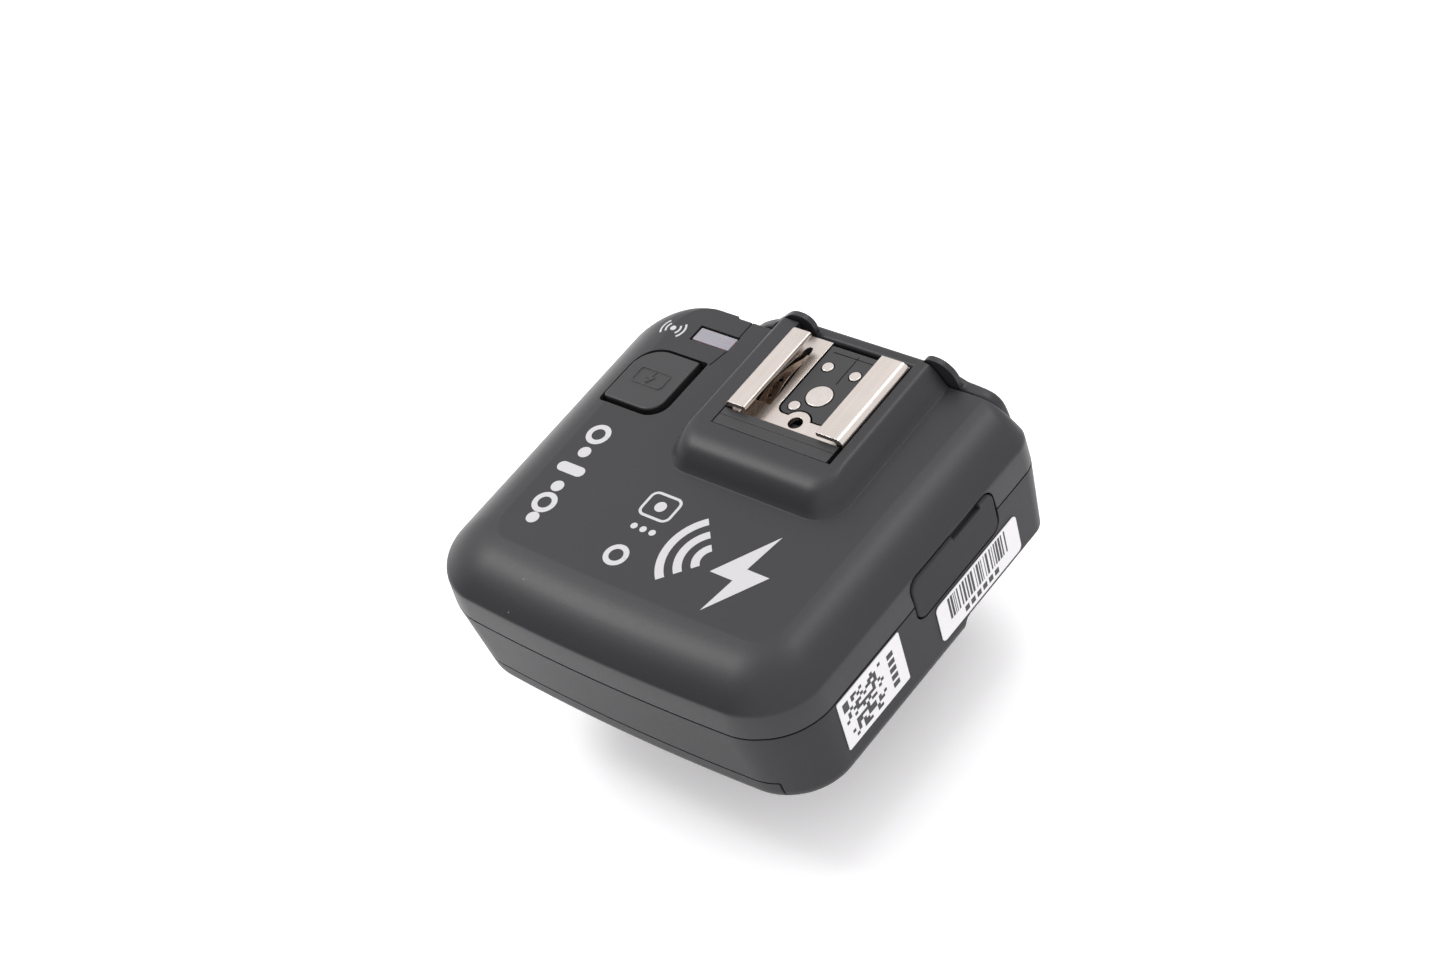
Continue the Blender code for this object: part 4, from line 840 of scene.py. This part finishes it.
# small framed mark and three small ones
fo, fi = ring_shape((-7.4, -1.6), (-9.9, -5.0), 1.3, 0.45)
deck_print(fo, "print_frame", [fi])
deck_print(disc(-4.5, -7.45, 0.95), "print_frame_dot")
for k in range(3):
    deck_print(disc(-5.9 + 1.7 * k, -12.0, 0.55), "print_dot_%d" % (k + 1))
deck_print(arc_band(-4.8, -17.6, 1.55, 0.85, 0, 359.0, 48), "print_ring")
# row of plain shapes along the -X side
row = [("ring", 0.4), ("disc", -3.4), ("pill", -7.0), ("disc", -10.6), ("ring", -14.0), ("disc", -17.1)]
for k, (kind, y) in enumerate(row):
    x = -22.9 + 0.085 * (0.4 - y)
    if kind == "ring":
        deck_print(arc_band(x, y, 1.55, 0.9, 0, 359.0, 48), "print_row_%d" % (k + 1))
    elif kind == "disc":
        deck_print(disc(x, y, 1.05), "print_row_%d" % (k + 1))
    else:
        deck_print(pill(x - 1.6, y, x + 1.6, y, 0.95), "print_row_%d" % (k + 1))
# lamp's sign: a dot with waves on each side
deck_print(disc(-26.6, 23.75, 0.5), "print_lamp_dot")
for side in (1, -1):
    mid = 0 if side > 0 else 180
    for k, r in enumerate((1.25, 2.1)):
        deck_print(arc_band(-26.6, 23.75, r, 0.34, mid - 42, mid + 42), "print_lamp_%s_%d" % ("rl"[side < 0], k + 1))


def wall_piece(pts, name, lift, thick, look, slot):
    """A thin shape on the +X wall: outline in (y, z)."""
    shape = prism(pts, 'X', (0.0, 1.0))
    for v in shape.data.vertices:
        far = v.co.x > 0.5 * MM
        y, z = v.co.y / MM, v.co.z / MM
        v.co.x = (right_x(y, z) + lift + (thick if far else 0.0)) * MM
    return shape


front_label = wall_piece(rounded((-20.8, -6.4), (22.6, 32.7), (0.3,) * 4, 6), "front", 0.02, 0.1, "paper", "label_paper")
piece(front_label, "front_label", "paper", "housing", ["side_label_front"])
rear_label = wall_piece(rounded((1.6, 21.6), (21.4, 28.7), (0.9,) * 4, 8), "rear", 0.02, 0.1, "paper", "label_paper")
piece(rear_label, "rear_label", "paper", "housing", ["side_label_rear"])


def merged(shapes):
    base = shapes[0]
    bm = bmesh.new()
    for s in shapes:
        bm.from_mesh(s.data)
    bm.to_mesh(base.data)
    bm.free()
    for s in shapes[1:]:
        mesh = s.data
        bpy.data.objects.remove(s, do_unlink=True)
        bpy.data.meshes.remove(mesh)
    return base


rng = random.Random(11)
blocks = []
cell = 0.62
for i in range(14):
    for j in range(13):
        if rng.random() < 0.42:
            y, z = -19.9 + cell * i, 23.5 + cell * j
            blocks.append(wall_piece([(y, z), (y + cell, z), (y + cell, z + cell), (y, z + cell)], "b", 0.1, 0.03,
                                     "ink", "label_paper"))
for k in range(5):
    z = 24.0 + 1.5 * k
    blocks.append(wall_piece([(-9.8, z), (-8.4, z), (-8.4, z + 1.0), (-9.8, z + 1.0)], "b", 0.1, 0.03, "ink", "label_paper"))
piece(merged(blocks), "front_label_print", "ink", "housing", ())

bars = []
y = 4.2
while y < 18.6:
    w = rng.choice((0.16, 0.16, 0.3, 0.3, 0.46))
    bars.append(wall_piece([(y, 23.9), (y + w, 23.9), (y + w, 28.2), (y, 28.2)], "b", 0.1, 0.03, "ink", "label_paper"))
    y += w + rng.choice((0.2, 0.32, 0.5))
for k in range(6):
    y0 = 7.4 + 1.5 * k
    bars.append(wall_piece([(y0, 22.1), (y0 + 1.0, 22.1), (y0 + 1.0, 23.2), (y0, 23.2)], "b", 0.1, 0.03, "ink", "label_paper"))
piece(merged(bars), "rear_label_print", "ink", "housing", ())

# ---------------------------------------------------------------- floor, light, camera
bm = bmesh.new()
bmesh.ops.create_grid(bm, x_segments=2, y_segments=2, size=3.0)
floor_mesh = bpy.data.meshes.new("floor")
bm.to_mesh(floor_mesh)
bm.free()
floor = link(floor_mesh, "floor")
fm = Tree("floor_look")
haze = fm.noise(3.0, 2.0)
fm.colour(fm.mix(haze, "Fac", (0.93, 0.93, 0.935), (0.945, 0.945, 0.95)))
set_bsdf(fm.bsdf, Roughness=0.9, Specular_IOR_Level=0.1, Emission_Strength=0.16)
fm.bsdf.inputs["Emission Color"].default_value = (1.0, 0.985, 0.995, 1.0)
floor.data.materials.append(fm.mat)

SKY = 1.3     # the light tent's brightness
scene = bpy.context.scene
world = bpy.data.worlds.new("studio")
world.use_nodes = True
sky = world.node_tree.nodes["Background"]
sky.inputs["Color"].default_value = (1.0, 0.985, 0.995, 1.0)
where = world.node_tree.nodes.new("ShaderNodeTexCoord")
toward = world.node_tree.nodes.new("ShaderNodeVectorMath")
toward.operation = 'DOT_PRODUCT'
toward.inputs[1].default_value = Vector((-0.52, -0.70, 0.49)).normalized()
dim = world.node_tree.nodes.new("ShaderNodeMapRange")
dim.interpolation_type = 'SMOOTHSTEP'
dim.inputs["From Min"].default_value = 0.72
dim.inputs["From Max"].default_value = 0.97
dim.inputs["To Min"].default_value = SKY
dim.inputs["To Max"].default_value = SKY * 0.25
world.node_tree.links.new(where.outputs["Generated"], toward.inputs[0])
world.node_tree.links.new(toward.outputs["Value"], dim.inputs["Value"])
world.node_tree.links.new(dim.outputs["Result"], sky.inputs["Strength"])
scene.world = world


def softbox(name, place, size, power, tint=(1.0, 1.0, 1.0)):
    data = bpy.data.lights.new(name, 'AREA')
    data.shape = 'RECTANGLE'
    data.size, data.size_y = size
    data.energy = power
    data.color = tint
    obj = bpy.data.objects.new(name, data)
    scene.collection.objects.link(obj)
    obj.location = place
    obj.rotation_euler = (Vector((0, 0, 0.03)) - Vector(place)).to_track_quat('-Z', 'Y').to_euler()
    return obj


softbox("key_light", (-0.56, -0.1, 0.82), (0.32, 0.32), 3.4)
softbox("back_light", (0.02, 0.46, 0.9), (0.32, 0.32), 2.0)

cam_data = bpy.data.cameras.new("camera")
cam_data.lens = 59.14
cam_data.sensor_width = 36.0
cam_data.clip_start = 0.01
cam = bpy.data.objects.new("camera", cam_data)
scene.collection.objects.link(cam)
cam.matrix_world = Matrix(((0.77209809, -0.29241942, 0.56422995, 0.19276),
                           (0.58673638, 0.66909336, -0.4561299, -0.1546),
                           (-0.24414127, 0.68323126, 0.68817882, 0.27579),
                           (0.0, 0.0, 0.0, 1.0)))
scene.camera = cam
scene.view_settings.view_transform = 'Standard'
scene.view_settings.look = 'None'
